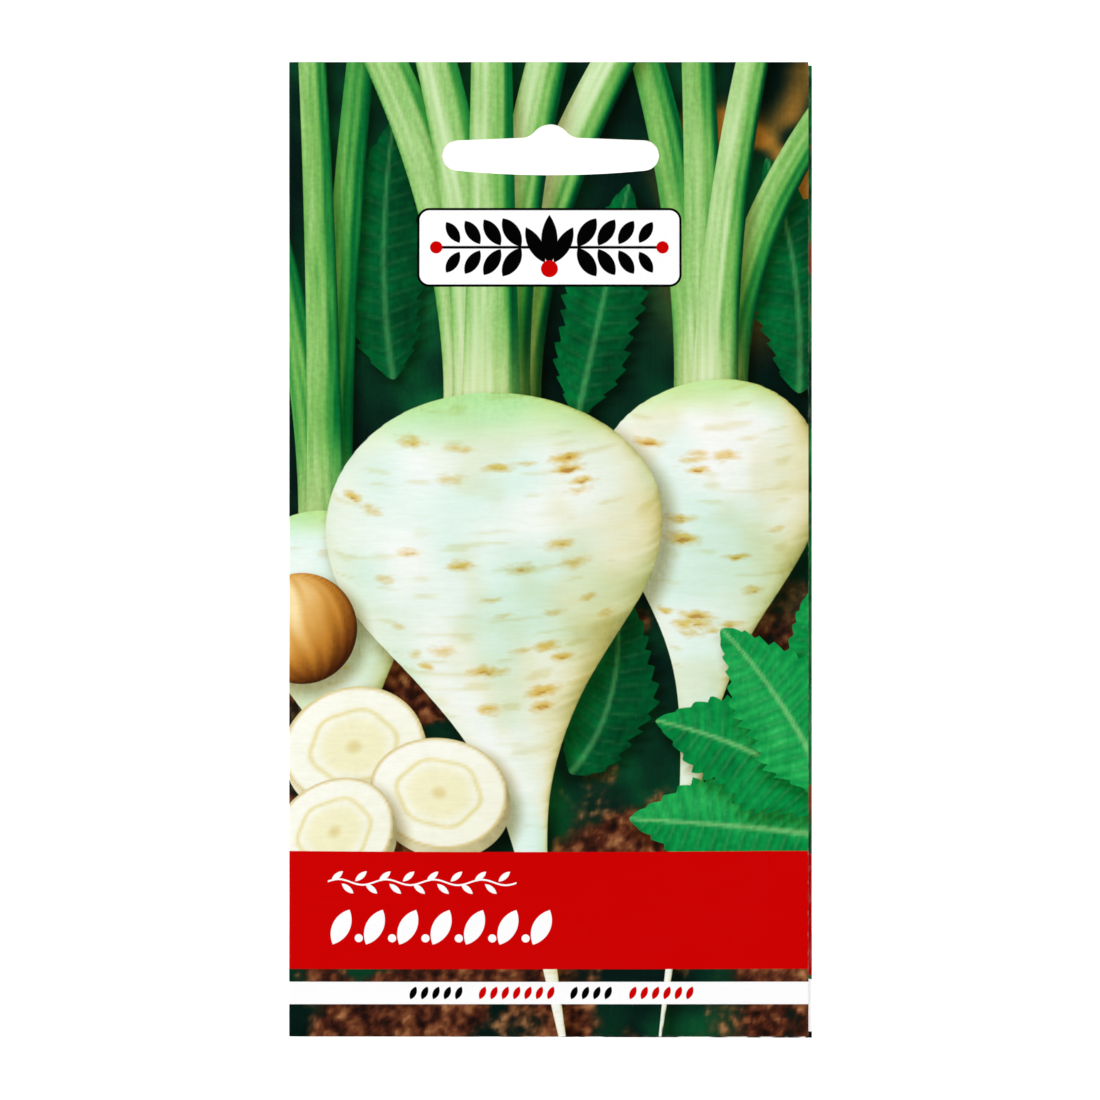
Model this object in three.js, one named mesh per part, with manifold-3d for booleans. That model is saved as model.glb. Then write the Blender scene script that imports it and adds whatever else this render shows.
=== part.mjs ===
// A sealed paper seed packet, lying on its back with the printed front up.
//
// One paper sheet is folded down its left side and glued shut along its right side, its bottom
// and its header. A hanging slot is punched through the header, and loose seeds lie in the pocket.
//
// Millimetres. +Z leaves the printed front, +Y points to the hanging slot and +X to the glued side.
// The origin is in the middle of the outline, on the surface that the packet lies on.

import * as THREE from "three";
import { mergeVertices } from "three/addons/utils/BufferGeometryUtils.js";
import Module from "manifold-3d";

const wasm = await Module();
wasm.setup();

// ---------------------------------------------------------------- driving dimensions

const WIDTH = 80; // the fold to the back ply's cut side edge
const HEIGHT = 149.3; // the front ply's top edge to the back ply's lowest corner
const PAPER = 0.15; // thickness of the sheet
const GLUE = 0.1; // thickness of the seals, and so the gap between the glued plies

const SIDE_STEP = 0.55; // how far the back ply shows past the front ply's cut side edge
const SKEW_DROP = 0.5; // how far a slightly askew fold lowers the back ply at that edge

const SIDE_SEAL = 6; // widths of the three glued strips
const BOTTOM_SEAL = 6.5;
const HEADER_SEAL = 20.5;
const GLUE_INSET = 0.6; // the glue stops this far inside the cut edges

const FRONT_RISE = 2.1; // how far the filled pocket swells above and below its seals
const BACK_DROP = 0.8;
const FLAT_SHARE = 0.6; // the back lies flat where the pillow is fuller than this
const FULLNESS = 2.3; // 2 is a parabola across the pocket, and more is squarer
const SAG = 0.8; // under 1, the pillow is fullest nearer the bottom

const SLOT = {
  top: 9.55, // from the packet's top edge to the top of the slot's bump
  halfLength: 16.6,
  bumpRise: 2.06, // the bump stands this far over the slot's upper edge
  bumpRadius: 3.2,
  filletRadius: 2.6, // where the bump runs out into the upper edge
  endRadius: 2.32,
  upperBow: 0.38, // the upper edge falls by this from the bump to the ends
  lowerBow: 0.68, // the lower edge rises by this from the middle to the ends
};

const SEED = { length: 6.2, width: 4.8, thickness: 1.0, sides: 8, tilt: 0.1 };
const HEAP = { x: -3, y: -18, halfWidth: 21, halfHeight: 32, pitch: 5.7, jitter: 0.5 };
const MAT = 0.3; // thickness of the slim layer that the heap's lowest seeds are joined by
const SEED_CLEARANCE = 0.08; // between the lowest seeds and the back ply
const UPPER_SHARE = 0.4; // this share of the lower seeds carries another seed across it
const UPPER_LIFT = 0.55;
const UPPER_SHIFT = 1.2;
const RANDOM_SEED = 20260;

// ---------------------------------------------------------------- places worked out from them

const FOLD_RADIUS = GLUE / 2 + PAPER;
const FOLD_X = -WIDTH / 2 + FOLD_RADIUS; // where the flat plies end and the fold begins
const FRONT_EDGE = WIDTH / 2 - SIDE_STEP;
const BACK_EDGE = WIDTH / 2;
const TOP = HEIGHT / 2;
const BOTTOM = -HEIGHT / 2 + SKEW_DROP; // the front ply's bottom edge
const SEAL_PLANE = BACK_DROP + PAPER + GLUE / 2; // mid height of the glued edges
const POCKET = {
  left: FOLD_X,
  right: FRONT_EDGE - GLUE_INSET - SIDE_SEAL,
  bottom: BOTTOM + GLUE_INSET + BOTTOM_SEAL,
  top: TOP - GLUE_INSET - HEADER_SEAL,
};

const POCKET_COLUMNS = 14;
const POCKET_ROWS = 20;
const FOLD_STEPS = 4;

// ---------------------------------------------------------------- small helpers

/** A repeatable random source: numbers from 0 to 1. */
function randomSource(seed) {
  let state = seed;
  return () => {
    state = (Math.imul(state, 1664525) + 1013904223) >>> 0;
    return state / 2 ** 32;
  };
}

/** count + 1 even steps from first to last. */
function evenSteps(first, last, count) {
  return Array.from({ length: count + 1 }, (_, i) => first + ((last - first) * i) / count);
}

/** Points of an arc from one angle to another, ends included. */
function arcPoints(x, y, radius, from, to, steps) {
  const point = (a) => new THREE.Vector2(x + radius * Math.cos(a), y + radius * Math.sin(a));
  return evenSteps(from, to, steps).map(point);
}

/** A closed geometry as a solid that can be joined and cut. */
function toSolid(geometry) {
  const bare = geometry.clone();
  bare.deleteAttribute("normal");
  bare.deleteAttribute("uv");
  const merged = mergeVertices(bare, 1e-5);
  const mesh = new wasm.Mesh({
    numProp: 3,
    vertProperties: new Float32Array(merged.attributes.position.array),
    triVerts: new Uint32Array(merged.index.array),
  });
  return new wasm.Manifold(mesh);
}

/** A joined or cut solid as a geometry again. */
function toGeometry(solid) {
  const mesh = solid.getMesh();
  const geometry = new THREE.BufferGeometry();
  geometry.setAttribute("position", new THREE.BufferAttribute(mesh.vertProperties, 3));
  geometry.setIndex(new THREE.BufferAttribute(mesh.triVerts, 1));
  geometry.computeVertexNormals();
  return geometry;
}

function named(name, geometry, color, roughness) {
  const material = new THREE.MeshStandardMaterial({ color, roughness, metalness: 0 });
  const mesh = new THREE.Mesh(geometry, material);
  mesh.name = name;
  return mesh;
}

// ---------------------------------------------------------------- the pillow

/** How full the pocket is at a place: 0 on its rim and outside it, 1 where it is fullest. */
function pillow(x, y) {
  const across = THREE.MathUtils.inverseLerp(POCKET.left, POCKET.right, x);
  const up = THREE.MathUtils.inverseLerp(POCKET.bottom, POCKET.top, y);
  if (across <= 0 || across >= 1 || up <= 0 || up >= 1) return 0;
  const swell = (share) => 1 - Math.abs(2 * share - 1) ** FULLNESS;
  return swell(across) * swell(up ** SAG);
}

/** Height of the front ply's printed face. */
function frontFace(x, y) {
  return SEAL_PLANE + GLUE / 2 + PAPER + FRONT_RISE * pillow(x, y);
}

/** Height of the back ply's outer face, which lies flat on the surface in its middle. */
function backFace(x, y) {
  return BACK_DROP * (1 - Math.min(1, pillow(x, y) / FLAT_SHARE));
}

// ---------------------------------------------------------------- the folded sheet

/**
 * A closed sheet between two like grids of points.
 * Rows run up the packet, and columns from the front's side edge round the fold to the back's.
 */
function thickSheet(outer, inner) {
  const rows = outer.length;
  const columns = outer[0].length;
  const points = [...outer.flat(), ...inner.flat()];
  const out = (row, column) => row * columns + column;
  const under = (index) => index + rows * columns;
  const index = [];
  const wall = (p, q) => index.push(q, p, under(p), q, under(p), under(q));
  for (let row = 0; row < rows - 1; row++) {
    for (let column = 0; column < columns - 1; column++) {
      const a = out(row, column);
      const b = out(row, column + 1);
      const c = out(row + 1, column + 1);
      const d = out(row + 1, column);
      index.push(a, d, c, a, c, b);
      index.push(under(a), under(c), under(d), under(a), under(b), under(c));
    }
    wall(out(row, 0), out(row + 1, 0));
    wall(out(row + 1, columns - 1), out(row, columns - 1));
  }
  for (let column = 0; column < columns - 1; column++) {
    wall(out(0, column + 1), out(0, column));
    wall(out(rows - 1, column), out(rows - 1, column + 1));
  }
  const geometry = new THREE.BufferGeometry().setFromPoints(points);
  geometry.setIndex(index);
  return geometry;
}

/** One place across the sheet, as the functions that give its outer and inner points up a row. */
function frontColumn(x) {
  return {
    outer: (y) => new THREE.Vector3(x, y, frontFace(x, y)),
    inner: (y) => new THREE.Vector3(x, y, frontFace(x, y) - PAPER),
  };
}

function foldColumn(angle) {
  const point = (y, radius) =>
    new THREE.Vector3(
      FOLD_X + radius * Math.cos(angle),
      y,
      SEAL_PLANE + radius * Math.sin(angle),
    );
  return {
    outer: (y) => point(y, FOLD_RADIUS),
    inner: (y) => point(y, GLUE / 2),
  };
}

function backColumn(x) {
  const drop = (SKEW_DROP * (x - FOLD_X)) / (BACK_EDGE - FOLD_X);
  return {
    outer: (y) => new THREE.Vector3(x, y - drop, backFace(x, y)),
    inner: (y) => new THREE.Vector3(x, y - drop, backFace(x, y) + PAPER),
  };
}

/** The whole sheet, folded, with the slot punched through both plies. */
function packetSheet(slot) {
  const pocketColumns = evenSteps(POCKET.left, POCKET.right, POCKET_COLUMNS);
  const fold = evenSteps(Math.PI / 2, (3 * Math.PI) / 2, FOLD_STEPS).slice(1, -1);
  const columns = [
    ...[...pocketColumns, FRONT_EDGE].reverse().map(frontColumn),
    ...fold.map(foldColumn),
    ...[...pocketColumns, BACK_EDGE].map(backColumn),
  ];
  const rows = [BOTTOM, ...evenSteps(POCKET.bottom, POCKET.top, POCKET_ROWS), TOP];
  const grid = (side) => rows.map((y) => columns.map((column) => column[side](y)));
  const sheet = toSolid(thickSheet(grid("outer"), grid("inner")));
  return toGeometry(sheet.subtract(slot));
}

// ---------------------------------------------------------------- the hanging slot

/** Outline of the slot: a long round-ended opening with a bump in the middle of its upper edge. */
function slotOutline() {
  const upperEdge = TOP - SLOT.top - SLOT.bumpRise;
  const reach = SLOT.bumpRadius + SLOT.filletRadius;
  const bumpAngle = Math.acos((reach - SLOT.bumpRise) / reach);
  const filletX = reach * Math.sin(bumpAngle);
  const endX = SLOT.halfLength - SLOT.endRadius;
  const endY = upperEdge - SLOT.upperBow - SLOT.endRadius;
  const endBottom = endY - SLOT.endRadius;
  const bowRadius = (endX ** 2 + SLOT.lowerBow ** 2) / (2 * SLOT.lowerBow);
  const bowAngle = Math.asin(endX / bowRadius);
  const up = Math.PI / 2;
  const filletY = upperEdge + SLOT.filletRadius;
  const bumpY = TOP - SLOT.top - SLOT.bumpRadius;
  const bowY = endBottom - SLOT.lowerBow + bowRadius;
  return [
    ...arcPoints(0, bumpY, SLOT.bumpRadius, up - bumpAngle, up + bumpAngle, 7),
    ...arcPoints(-filletX, filletY, SLOT.filletRadius, bumpAngle - up, -up, 3).slice(1),
    ...arcPoints(-endX, endY, SLOT.endRadius, up, 3 * up, 6),
    ...arcPoints(0, bowY, bowRadius, -up - bowAngle, -up + bowAngle, 6).slice(1, -1),
    ...arcPoints(endX, endY, SLOT.endRadius, -up, up, 6),
    ...arcPoints(filletX, filletY, SLOT.filletRadius, -up, -up - bumpAngle, 3).slice(0, -1),
  ];
}

/** The punch that cuts the slot: its outline, run past both plies. */
function slotPunch() {
  const depth = 4 * FOLD_RADIUS;
  const shape = new THREE.Shape(slotOutline());
  const geometry = new THREE.ExtrudeGeometry(shape, { depth, bevelEnabled: false });
  geometry.translate(0, 0, SEAL_PLANE - depth / 2);
  return toSolid(geometry);
}

// ---------------------------------------------------------------- the seals

/** A flat strip of glue that fills the gap between the plies. */
function glueStrip(left, right, bottom, top) {
  const geometry = new THREE.BoxGeometry(right - left, top - bottom, GLUE);
  geometry.translate((left + right) / 2, (bottom + top) / 2, SEAL_PLANE);
  return geometry;
}

const GLUE_EDGE = FRONT_EDGE - GLUE_INSET; // side edge that the three strips share

function sideSeal() {
  return glueStrip(POCKET.right, GLUE_EDGE, POCKET.bottom, POCKET.top);
}

function bottomSeal() {
  return glueStrip(FOLD_X, GLUE_EDGE, BOTTOM + GLUE_INSET, POCKET.bottom);
}

function headerSeal(slot) {
  const strip = glueStrip(FOLD_X, GLUE_EDGE, POCKET.top, TOP - GLUE_INSET);
  return toGeometry(toSolid(strip).subtract(slot));
}

// ---------------------------------------------------------------- the seeds

/** One flat oval seed with a sharp rim, turned and tilted at a place. */
function seedSolid(place, turn, tiltX, tiltY) {
  const geometry = new THREE.SphereGeometry(0.5, SEED.sides, 2);
  geometry.rotateX(Math.PI / 2);
  geometry.scale(SEED.length, SEED.width, SEED.thickness);
  geometry.applyMatrix4(new THREE.Matrix4().makeRotationFromEuler(new THREE.Euler(tiltX, tiltY, turn)));
  geometry.translate(place.x, place.y, place.z);
  return toSolid(geometry);
}

/** Places of the heap's lowest seeds: a jittered triangular grid inside an oval. */
function heapPlaces(random) {
  const places = [];
  const rowPitch = HEAP.pitch * Math.sin(Math.PI / 3);
  const rows = Math.floor(HEAP.halfHeight / rowPitch);
  for (let row = -rows; row <= rows; row++) {
    const shift = row % 2 ? HEAP.pitch / 2 : 0;
    for (let x = -HEAP.halfWidth - shift; x <= HEAP.halfWidth; x += HEAP.pitch) {
      const place = new THREE.Vector2(x, row * rowPitch);
      place.x += HEAP.jitter * (2 * random() - 1);
      place.y += HEAP.jitter * (2 * random() - 1);
      if (Math.hypot(place.x / HEAP.halfWidth, place.y / HEAP.halfHeight) < 1) places.push(place);
    }
  }
  return places;
}

/** The heap of seeds as one body: a slim mat, the seeds sunk in it and more lying across them. */
function seedHeap() {
  const random = randomSource(RANDOM_SEED);
  const bed = PAPER + SEED_CLEARANCE + SEED.thickness / 2;
  const tilt = () => SEED.tilt * (2 * random() - 1);
  const turn = () => 2 * Math.PI * random();
  const mat = new THREE.CylinderGeometry(1, 1, MAT, 24);
  mat.rotateX(Math.PI / 2);
  mat.scale(HEAP.halfWidth, HEAP.halfHeight, 1);
  mat.translate(HEAP.x, HEAP.y, bed);
  const pieces = [toSolid(mat)];
  for (const { x, y } of heapPlaces(random)) {
    const place = new THREE.Vector3(HEAP.x + x, HEAP.y + y, bed);
    const heading = turn();
    pieces.push(seedSolid(place, heading, tilt(), tilt()));
    if (random() > UPPER_SHARE) continue;
    place.x += UPPER_SHIFT * Math.cos(heading);
    place.y += UPPER_SHIFT * Math.sin(heading);
    place.z += UPPER_LIFT;
    pieces.push(seedSolid(place, heading + Math.PI / 3 + random(), tilt(), tilt()));
  }
  return toGeometry(pieces.reduce((heap, piece) => heap.add(piece)));
}

// ---------------------------------------------------------------- the packet

const slot = slotPunch();
const packet = new THREE.Group();
packet.add(
  named("packet_sheet", packetSheet(slot), 0xe6ebdc, 0.45),
  named("header_seal", headerSeal(slot), 0xe9e4d2, 0.6),
  named("side_seal", sideSeal(), 0xe9e4d2, 0.6),
  named("bottom_seal", bottomSeal(), 0xe9e4d2, 0.6),
  named("seeds", seedHeap(), 0xb48a55, 0.8),
);

export default packet;
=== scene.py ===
"""Dresses a sealed paper seed packet: printed front, printed back, glue and loose seeds.

The packet lies on its back. Sizes in the classes are in millimetres, and meshes are in metres.
+Z leaves the printed front, +Y points to the hanging slot and +X to the glued side.
"""
import logging
import math
from dataclasses import dataclass, field
from enum import Enum
from typing import ClassVar, Sequence

import bpy
import numpy as np
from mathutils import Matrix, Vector
from mathutils.geometry import delaunay_2d_cdt


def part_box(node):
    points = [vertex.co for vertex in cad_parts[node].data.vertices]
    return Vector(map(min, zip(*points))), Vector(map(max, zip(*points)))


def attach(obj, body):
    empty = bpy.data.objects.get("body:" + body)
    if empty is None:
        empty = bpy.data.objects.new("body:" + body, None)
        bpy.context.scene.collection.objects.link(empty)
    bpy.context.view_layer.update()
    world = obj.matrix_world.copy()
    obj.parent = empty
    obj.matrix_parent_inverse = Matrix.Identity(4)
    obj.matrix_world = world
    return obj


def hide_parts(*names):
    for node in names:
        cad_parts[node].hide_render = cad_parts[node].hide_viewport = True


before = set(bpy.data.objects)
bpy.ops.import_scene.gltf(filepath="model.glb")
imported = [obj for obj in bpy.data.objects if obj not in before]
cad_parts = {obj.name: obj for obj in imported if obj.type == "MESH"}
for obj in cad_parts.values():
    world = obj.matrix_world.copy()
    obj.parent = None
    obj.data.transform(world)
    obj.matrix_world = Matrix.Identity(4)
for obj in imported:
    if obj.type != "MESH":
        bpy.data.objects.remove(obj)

Array = np.ndarray
Groups = tuple[tuple[float, int], ...]
Point = tuple[float, float]
Span = tuple[float, float]
Colour = tuple[float, float, float]
Stops = Sequence[tuple[float, Colour]]
Settings = dict[str | int, object]
Socket = bpy.types.NodeSocket
Material = bpy.types.Material
Piece = bpy.types.Object

MM = 0.001
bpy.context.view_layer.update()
PICTURE_LIGHT = np.array([-0.48, 0.42, 0.77])
log = logging.getLogger("seed_packet")


# ---- array helpers


def linear(display: Array | Sequence[float]) -> Array:
    """Turns display colours of 0 to 255 into linear light: ((c + 0.055) / 1.055) ** 2.4."""
    share = np.clip(np.asarray(display, float) / 255, 0, 1)
    return np.where(share <= 0.04045, share / 12.92, ((share + 0.055) / 1.055) ** 2.4)


def ink(red: float, green: float, blue: float) -> Colour:
    """One linear colour, from its display numbers of 0 to 255."""
    return tuple(float(part) for part in linear((red, green, blue)))


def smooth(low: float, high: float, value: Array) -> Array:
    """Rises from 0 at low to 1 at high by 3t^2 - 2t^3. Low may be above high, to fall instead."""
    t = np.clip((value - low) / (high - low), 0, 1)
    return t * t * (3 - 2 * t)


def stain(colour: Array, share: Array, loss: Sequence[float]) -> Array:
    """Takes a share of each channel's loss off a colour."""
    return colour * (1 - share[..., None] * np.asarray(loss))


def ramp(value: Array, stops: Stops) -> Array:
    """Looks values up between colour stops, by straight lines."""
    places, colours = zip(*stops)
    return np.stack([np.interp(value, places, channel) for channel in zip(*colours)], axis=-1)


def noise(x: Array, y: Array, size: float, seed: int) -> Array:
    """Value noise from 0 to 1: random numbers on a square lattice, joined by 3t^2 - 2t^3.

    Args:
        x: First coordinate.
        y: Second coordinate.
        size: Distance between lattice points.
        seed: Picks the random numbers.

    Returns:
        The noise at every point.
    """
    period = 64
    table = np.random.default_rng(seed).random((period, period))
    gx, gy = np.broadcast_arrays(x / size, y / size)
    ix, iy = np.floor(gx).astype(int), np.floor(gy).astype(int)
    fx, fy = smooth(0, 1, gx - ix), smooth(0, 1, gy - iy)
    near, far = ix % period, (ix + 1) % period
    low, high = iy % period, (iy + 1) % period
    bottom = table[near, low] + (table[far, low] - table[near, low]) * fx
    top = table[near, high] + (table[far, high] - table[near, high]) * fx
    return bottom + (top - bottom) * fy


def clouds(x: Array, y: Array, size: float, seed: int) -> Array:
    """Soft blotches from 0 to 1: 0.65 and 0.35 of two octaves of noise, each turned its own way.

    Args:
        x: First coordinates.
        y: Second coordinates.
        size: Width of the broad blotches.
        seed: Picks the random numbers.

    Returns:
        The blotches.
    """
    broad = noise(0.8 * x + 0.6 * y, 0.8 * y - 0.6 * x, size, seed)
    fine = noise(0.28 * x - 0.96 * y, 0.28 * y + 0.96 * x, size * 0.45, seed + 1)
    return 0.65 * broad + 0.35 * fine


def wobble(x: Array, y: Array, size: float, seed: int) -> Array:
    """Noise from -0.5 to 0.5."""
    return noise(x, y, size, seed) - 0.5


def lit(nx: Array, ny: Array, nz: Array, wrap: float) -> Array:
    """Light on a normal: (n . light + wrap) / (1 + wrap), with the light at the upper left."""
    light = PICTURE_LIGHT / np.linalg.norm(PICTURE_LIGHT)
    return np.clip((nx * light[0] + ny * light[1] + nz * light[2] + wrap) / (1 + wrap), 0, 1)


# ---- shader helpers


class Value:
    """A number socket that expressions are written with. Each operation adds its Math node."""

    def __init__(self, nodes: "Nodes", socket: Socket) -> None:
        """Wraps a socket of a tree's node."""
        self.nodes = nodes
        self.socket = socket

    def __add__(self, other: "Value | float") -> "Value":
        """self + other."""
        return self.nodes.math("ADD", self, other)

    def __sub__(self, other: "Value | float") -> "Value":
        """self - other."""
        return self.nodes.math("SUBTRACT", self, other)

    def __rsub__(self, other: float) -> "Value":
        """other - self."""
        return self.nodes.math("SUBTRACT", other, self)

    def __mul__(self, other: "Value | float") -> "Value":
        """self * other."""
        return self.nodes.math("MULTIPLY", self, other)

    def __truediv__(self, other: "Value | float") -> "Value":
        """self / other."""
        return self.nodes.math("DIVIDE", self, other)

    def __pow__(self, other: float) -> "Value":
        """self to the power of other."""
        return self.nodes.math("POWER", self, other)

    def __abs__(self) -> "Value":
        """The size of self."""
        return self.nodes.math("ABSOLUTE", self)

    __radd__ = __add__
    __rmul__ = __mul__

    def at_least(self, other: "Value | float") -> "Value":
        """The larger of self and other."""
        return self.nodes.math("MAXIMUM", self, other)

    def at_most(self, other: "Value | float") -> "Value":
        """The smaller of self and other."""
        return self.nodes.math("MINIMUM", self, other)

    def clamp(self) -> "Value":
        """self, kept from 0 to 1."""
        return self.at_least(0).at_most(1)

    def sine(self) -> "Value":
        """The sine of self."""
        return self.nodes.math("SINE", self)

    def whole(self) -> "Value":
        """self, rounded to the nearest whole number."""
        return self.nodes.math("ROUND", self)

    def hypot(self, other: "Value") -> "Value":
        """sqrt(self^2 + other^2)."""
        return (self * self + other * other) ** 0.5


class Nodes:
    """A node tree, written as expressions."""

    def __init__(self, tree: bpy.types.NodeTree) -> None:
        """Takes the tree of a material or a world."""
        self.tree = tree

    def put(self, socket: Socket, value: object) -> None:
        """Sets a socket to a number, colour or ink, or links a Value or another socket to it.

        Args:
            socket: Input of a node in this tree.
            value: What it gets.
        """
        if isinstance(value, Enum):
            value = value.value
        if isinstance(value, Value):
            value = value.socket
        if isinstance(value, Socket):
            self.tree.links.new(value, socket)
            return
        if socket.type == "RGBA" and len(value) == 3:
            value = (*value, 1.0)
        socket.default_value = value

    def node(
        self, kind: str, settings: Settings | None = None, inputs: Settings | None = None
    ) -> bpy.types.Node:
        """Adds any node.

        Args:
            kind: The node's type.
            settings: Attributes of the node, which are set first.
            inputs: Socket name or number to a value or link.

        Returns:
            The node.
        """
        made = self.tree.nodes.new(kind)
        for name, value in (settings or {}).items():
            setattr(made, name, value)
        for name, value in (inputs or {}).items():
            self.put(made.inputs[name], value)
        return made

    def math(self, operation: str, *values: "Value | float") -> Value:
        """Adds a Math node on one or two values."""
        made = self.node("ShaderNodeMath", {"operation": operation}, dict(enumerate(values)))
        return Value(self, made.outputs[0])


class Shader(Nodes):
    """A material's node tree, with the patterns and the surface that its finish needs."""

    def __init__(self, name: str) -> None:
        """Makes the material with a bare Principled surface.

        Args:
            name: The material's name.
        """
        self.material = bpy.data.materials.new(name)
        self.material.use_nodes = True
        super().__init__(self.material.node_tree)
        self.surface = self.tree.nodes["Principled BSDF"]
        self.object_places = self.node("ShaderNodeTexCoord").outputs["Object"]

    def finish(self, **sockets: object) -> Material:
        """Puts values on the surface's sockets.

        Args:
            sockets: Values by socket name, with _ for a space.

        Returns:
            The material.
        """
        for name, value in sockets.items():
            self.put(self.surface.inputs[name.replace("_", " ")], value)
        return self.material

    def places(self) -> tuple[Value, Value, Value]:
        """The three Object coordinates in millimetres."""
        split = self.node("ShaderNodeSeparateXYZ", inputs={0: self.object_places})
        return tuple(Value(self, socket) * (1 / MM) for socket in split.outputs)

    def noise(self, size: float, stretch: Sequence[float] = (1, 1, 1), detail: float = 2.0) -> Value:
        """Noise from 0 to 1 on Object coordinates.

        Args:
            size: About how wide its grains are.
            stretch: How many times longer they are along each axis.
            detail: Finer octaves.

        Returns:
            The noise.
        """
        scale = [1 / (size * MM * part) for part in stretch]
        mapped = self.node("ShaderNodeMapping", inputs={0: self.object_places, "Scale": scale})
        inputs = {"Vector": mapped.outputs[0], "Scale": 1.0, "Detail": detail}
        return Value(self, self.node("ShaderNodeTexNoise", inputs=inputs).outputs["Fac"])

    def attribute(self, name: str) -> bpy.types.Node:
        """An Attribute node for the mesh attribute of that name."""
        return self.node("ShaderNodeAttribute", {"attribute_name": name})

    def channels(self, colour: Socket) -> list[Value]:
        """The red, green and blue of a colour."""
        split = self.node("ShaderNodeSeparateColor", inputs={0: colour})
        return [Value(self, part) for part in split.outputs]

    def mix(self, share: "Value | float", under: object, over: object) -> Socket:
        """Mixes two colours by a share. Each is an ink, a socket or three linear numbers."""
        made = self.node("ShaderNodeMix", {"data_type": "RGBA"}, {0: share, 6: under, 7: over})
        return made.outputs[2]

    def overprinted(self, under: object, *coats: tuple["Value | float", object]) -> Socket:
        """Lays colours over a first one, each by its own share.

        Args:
            under: The first colour.
            coats: Share and colour of each coat, in order.

        Returns:
            The colour on top.
        """
        for share, over in coats:
            under = self.mix(share, under, over)
        return under

    def tinted(self, colour: Socket, factor: Value) -> Socket:
        """A colour times a number."""
        made = self.node("ShaderNodeVectorMath", {"operation": "SCALE"}, {0: colour, "Scale": factor})
        return made.outputs[0]

    def stained(self, share: Value, colour: Socket, tint: Colour) -> Socket:
        """A share of a colour multiplied by a tint."""
        made = self.node("ShaderNodeVectorMath", {"operation": "MULTIPLY"}, {0: colour, 1: tint})
        return self.mix(share, colour, made.outputs[0])

    def bump(self, height: Value, depth: float) -> Socket:
        """A normal from a height of 0 to 1 that stands for a depth in millimetres."""
        made = self.node("ShaderNodeBump", inputs={"Height": height, "Strength": 1.0, "Distance": depth * MM})
        return made.outputs[0]


def edge(distance: Value, width: float = 0.07) -> Value:
    """How much of a drawn shape covers a place: 1 inside it, 0 outside, over a thin soft edge."""
    return (0.5 - distance / width).clamp()


def smooth_value(value: Value, low: float, high: float) -> Value:
    """Rises from 0 at low to 1 at high in a straight line."""
    return ((value - low) * (1 / (high - low))).clamp()


def between(value: Value, low: float, high: float) -> Value:
    """1 from low to high, and 0 outside."""
    return edge(low - value) * edge(value - high)


def rounded_box(x: Value, y: Value, middle: Point, half: Point, radius: float) -> Value:
    """Signed distance to a rounded box.

    With h the half size less r, it is the length of max(|p| - h, 0), plus min(max(|p| - h), 0),
    less r.

    Args:
        x: Millimetres across.
        y: Millimetres up.
        middle: Middle of the box.
        half: Half its width and height.
        radius: Radius of its corners.

    Returns:
        The distance, below 0 inside.
    """
    over_x = abs(x - middle[0]) - (half[0] - radius)
    over_y = abs(y - middle[1]) - (half[1] - radius)
    outside = over_x.at_least(0).hypot(over_y.at_least(0))
    return outside + over_x.at_least(over_y).at_most(0) - radius


@dataclass(frozen=True)
class Oval:
    """A pointed oval's length from tip to tip, its width, and the angle of its long axis."""

    length: float
    width: float
    turn: float

    def distance(self, x: Value, y: Value) -> Value:
        """Signed distance to the oval round the origin, where two circles of one radius cross.

        With the radius R = (l^2 + w^2) / 2w for half sizes l and w, it is
        sqrt((|across| + R - w)^2 + along^2) - R.

        Args:
            x: First coordinate from its middle.
            y: Second coordinate from its middle.

        Returns:
            The distance, below 0 inside.
        """
        half_length, half_width = self.length / 2, self.width / 2
        radius = (half_length**2 + half_width**2) / (2 * half_width)
        cos, sin = math.cos(self.turn), math.sin(self.turn)
        along = x * cos + y * sin
        across = y * cos - x * sin
        return (abs(across) + (radius - half_width)).hypot(along) - radius


def repeated(x: Value, first: float, pitch: float, count: int) -> Value:
    """Distance along x from the nearest of some even stations."""
    station = ((x - first) / pitch).whole().at_least(0).at_most(count - 1)
    return x - first - station * pitch


# ---- the printed picture


class Curve:
    """A Bezier curve of two to four control points, walked in even shares of its parameter."""

    SAMPLES = 48
    BLOCK = 40000

    def __init__(self, *controls: Point) -> None:
        """Samples the curve: sum of C(n, k) t^k (1 - t)^(n - k) p_k.

        Args:
            controls: Control points p_k.
        """
        t = np.linspace(0, 1, self.SAMPLES)
        n = len(controls) - 1
        weights = [math.comb(n, k) * t**k * (1 - t) ** (n - k) for k in range(n + 1)]
        self.points = np.stack(weights, axis=1) @ np.array(controls, float)
        steps = np.diff(self.points, axis=0)
        tangent = np.gradient(self.points, axis=0)
        self.tangent = tangent / np.linalg.norm(tangent, axis=1, keepdims=True)
        self.walked = np.concatenate([[0], np.cumsum(np.linalg.norm(steps, axis=1))])
        self.length = float(self.walked[-1])

    def locate(self, at: Array) -> tuple[Array, Array, Array]:
        """Finds where points lie along the curve.

        Args:
            at: Places in millimetres.

        Returns:
            Distance along, signed distance across to the left, and the tangent there.
        """
        near = np.empty(at.shape[1], int)
        for start in range(0, len(near), self.BLOCK):
            part = slice(start, start + self.BLOCK)
            off_x, off_y = (at[k, part, None] - self.points[:, k] for k in range(2))
            near[part] = (off_x**2 + off_y**2).argmin(axis=1)
        tangent = self.tangent[near]
        off = at.T - self.points[near]
        along = self.walked[near] + (off * tangent).sum(axis=1)
        across = off[:, 1] * tangent[:, 0] - off[:, 0] * tangent[:, 1]
        return along, across, tangent


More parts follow.
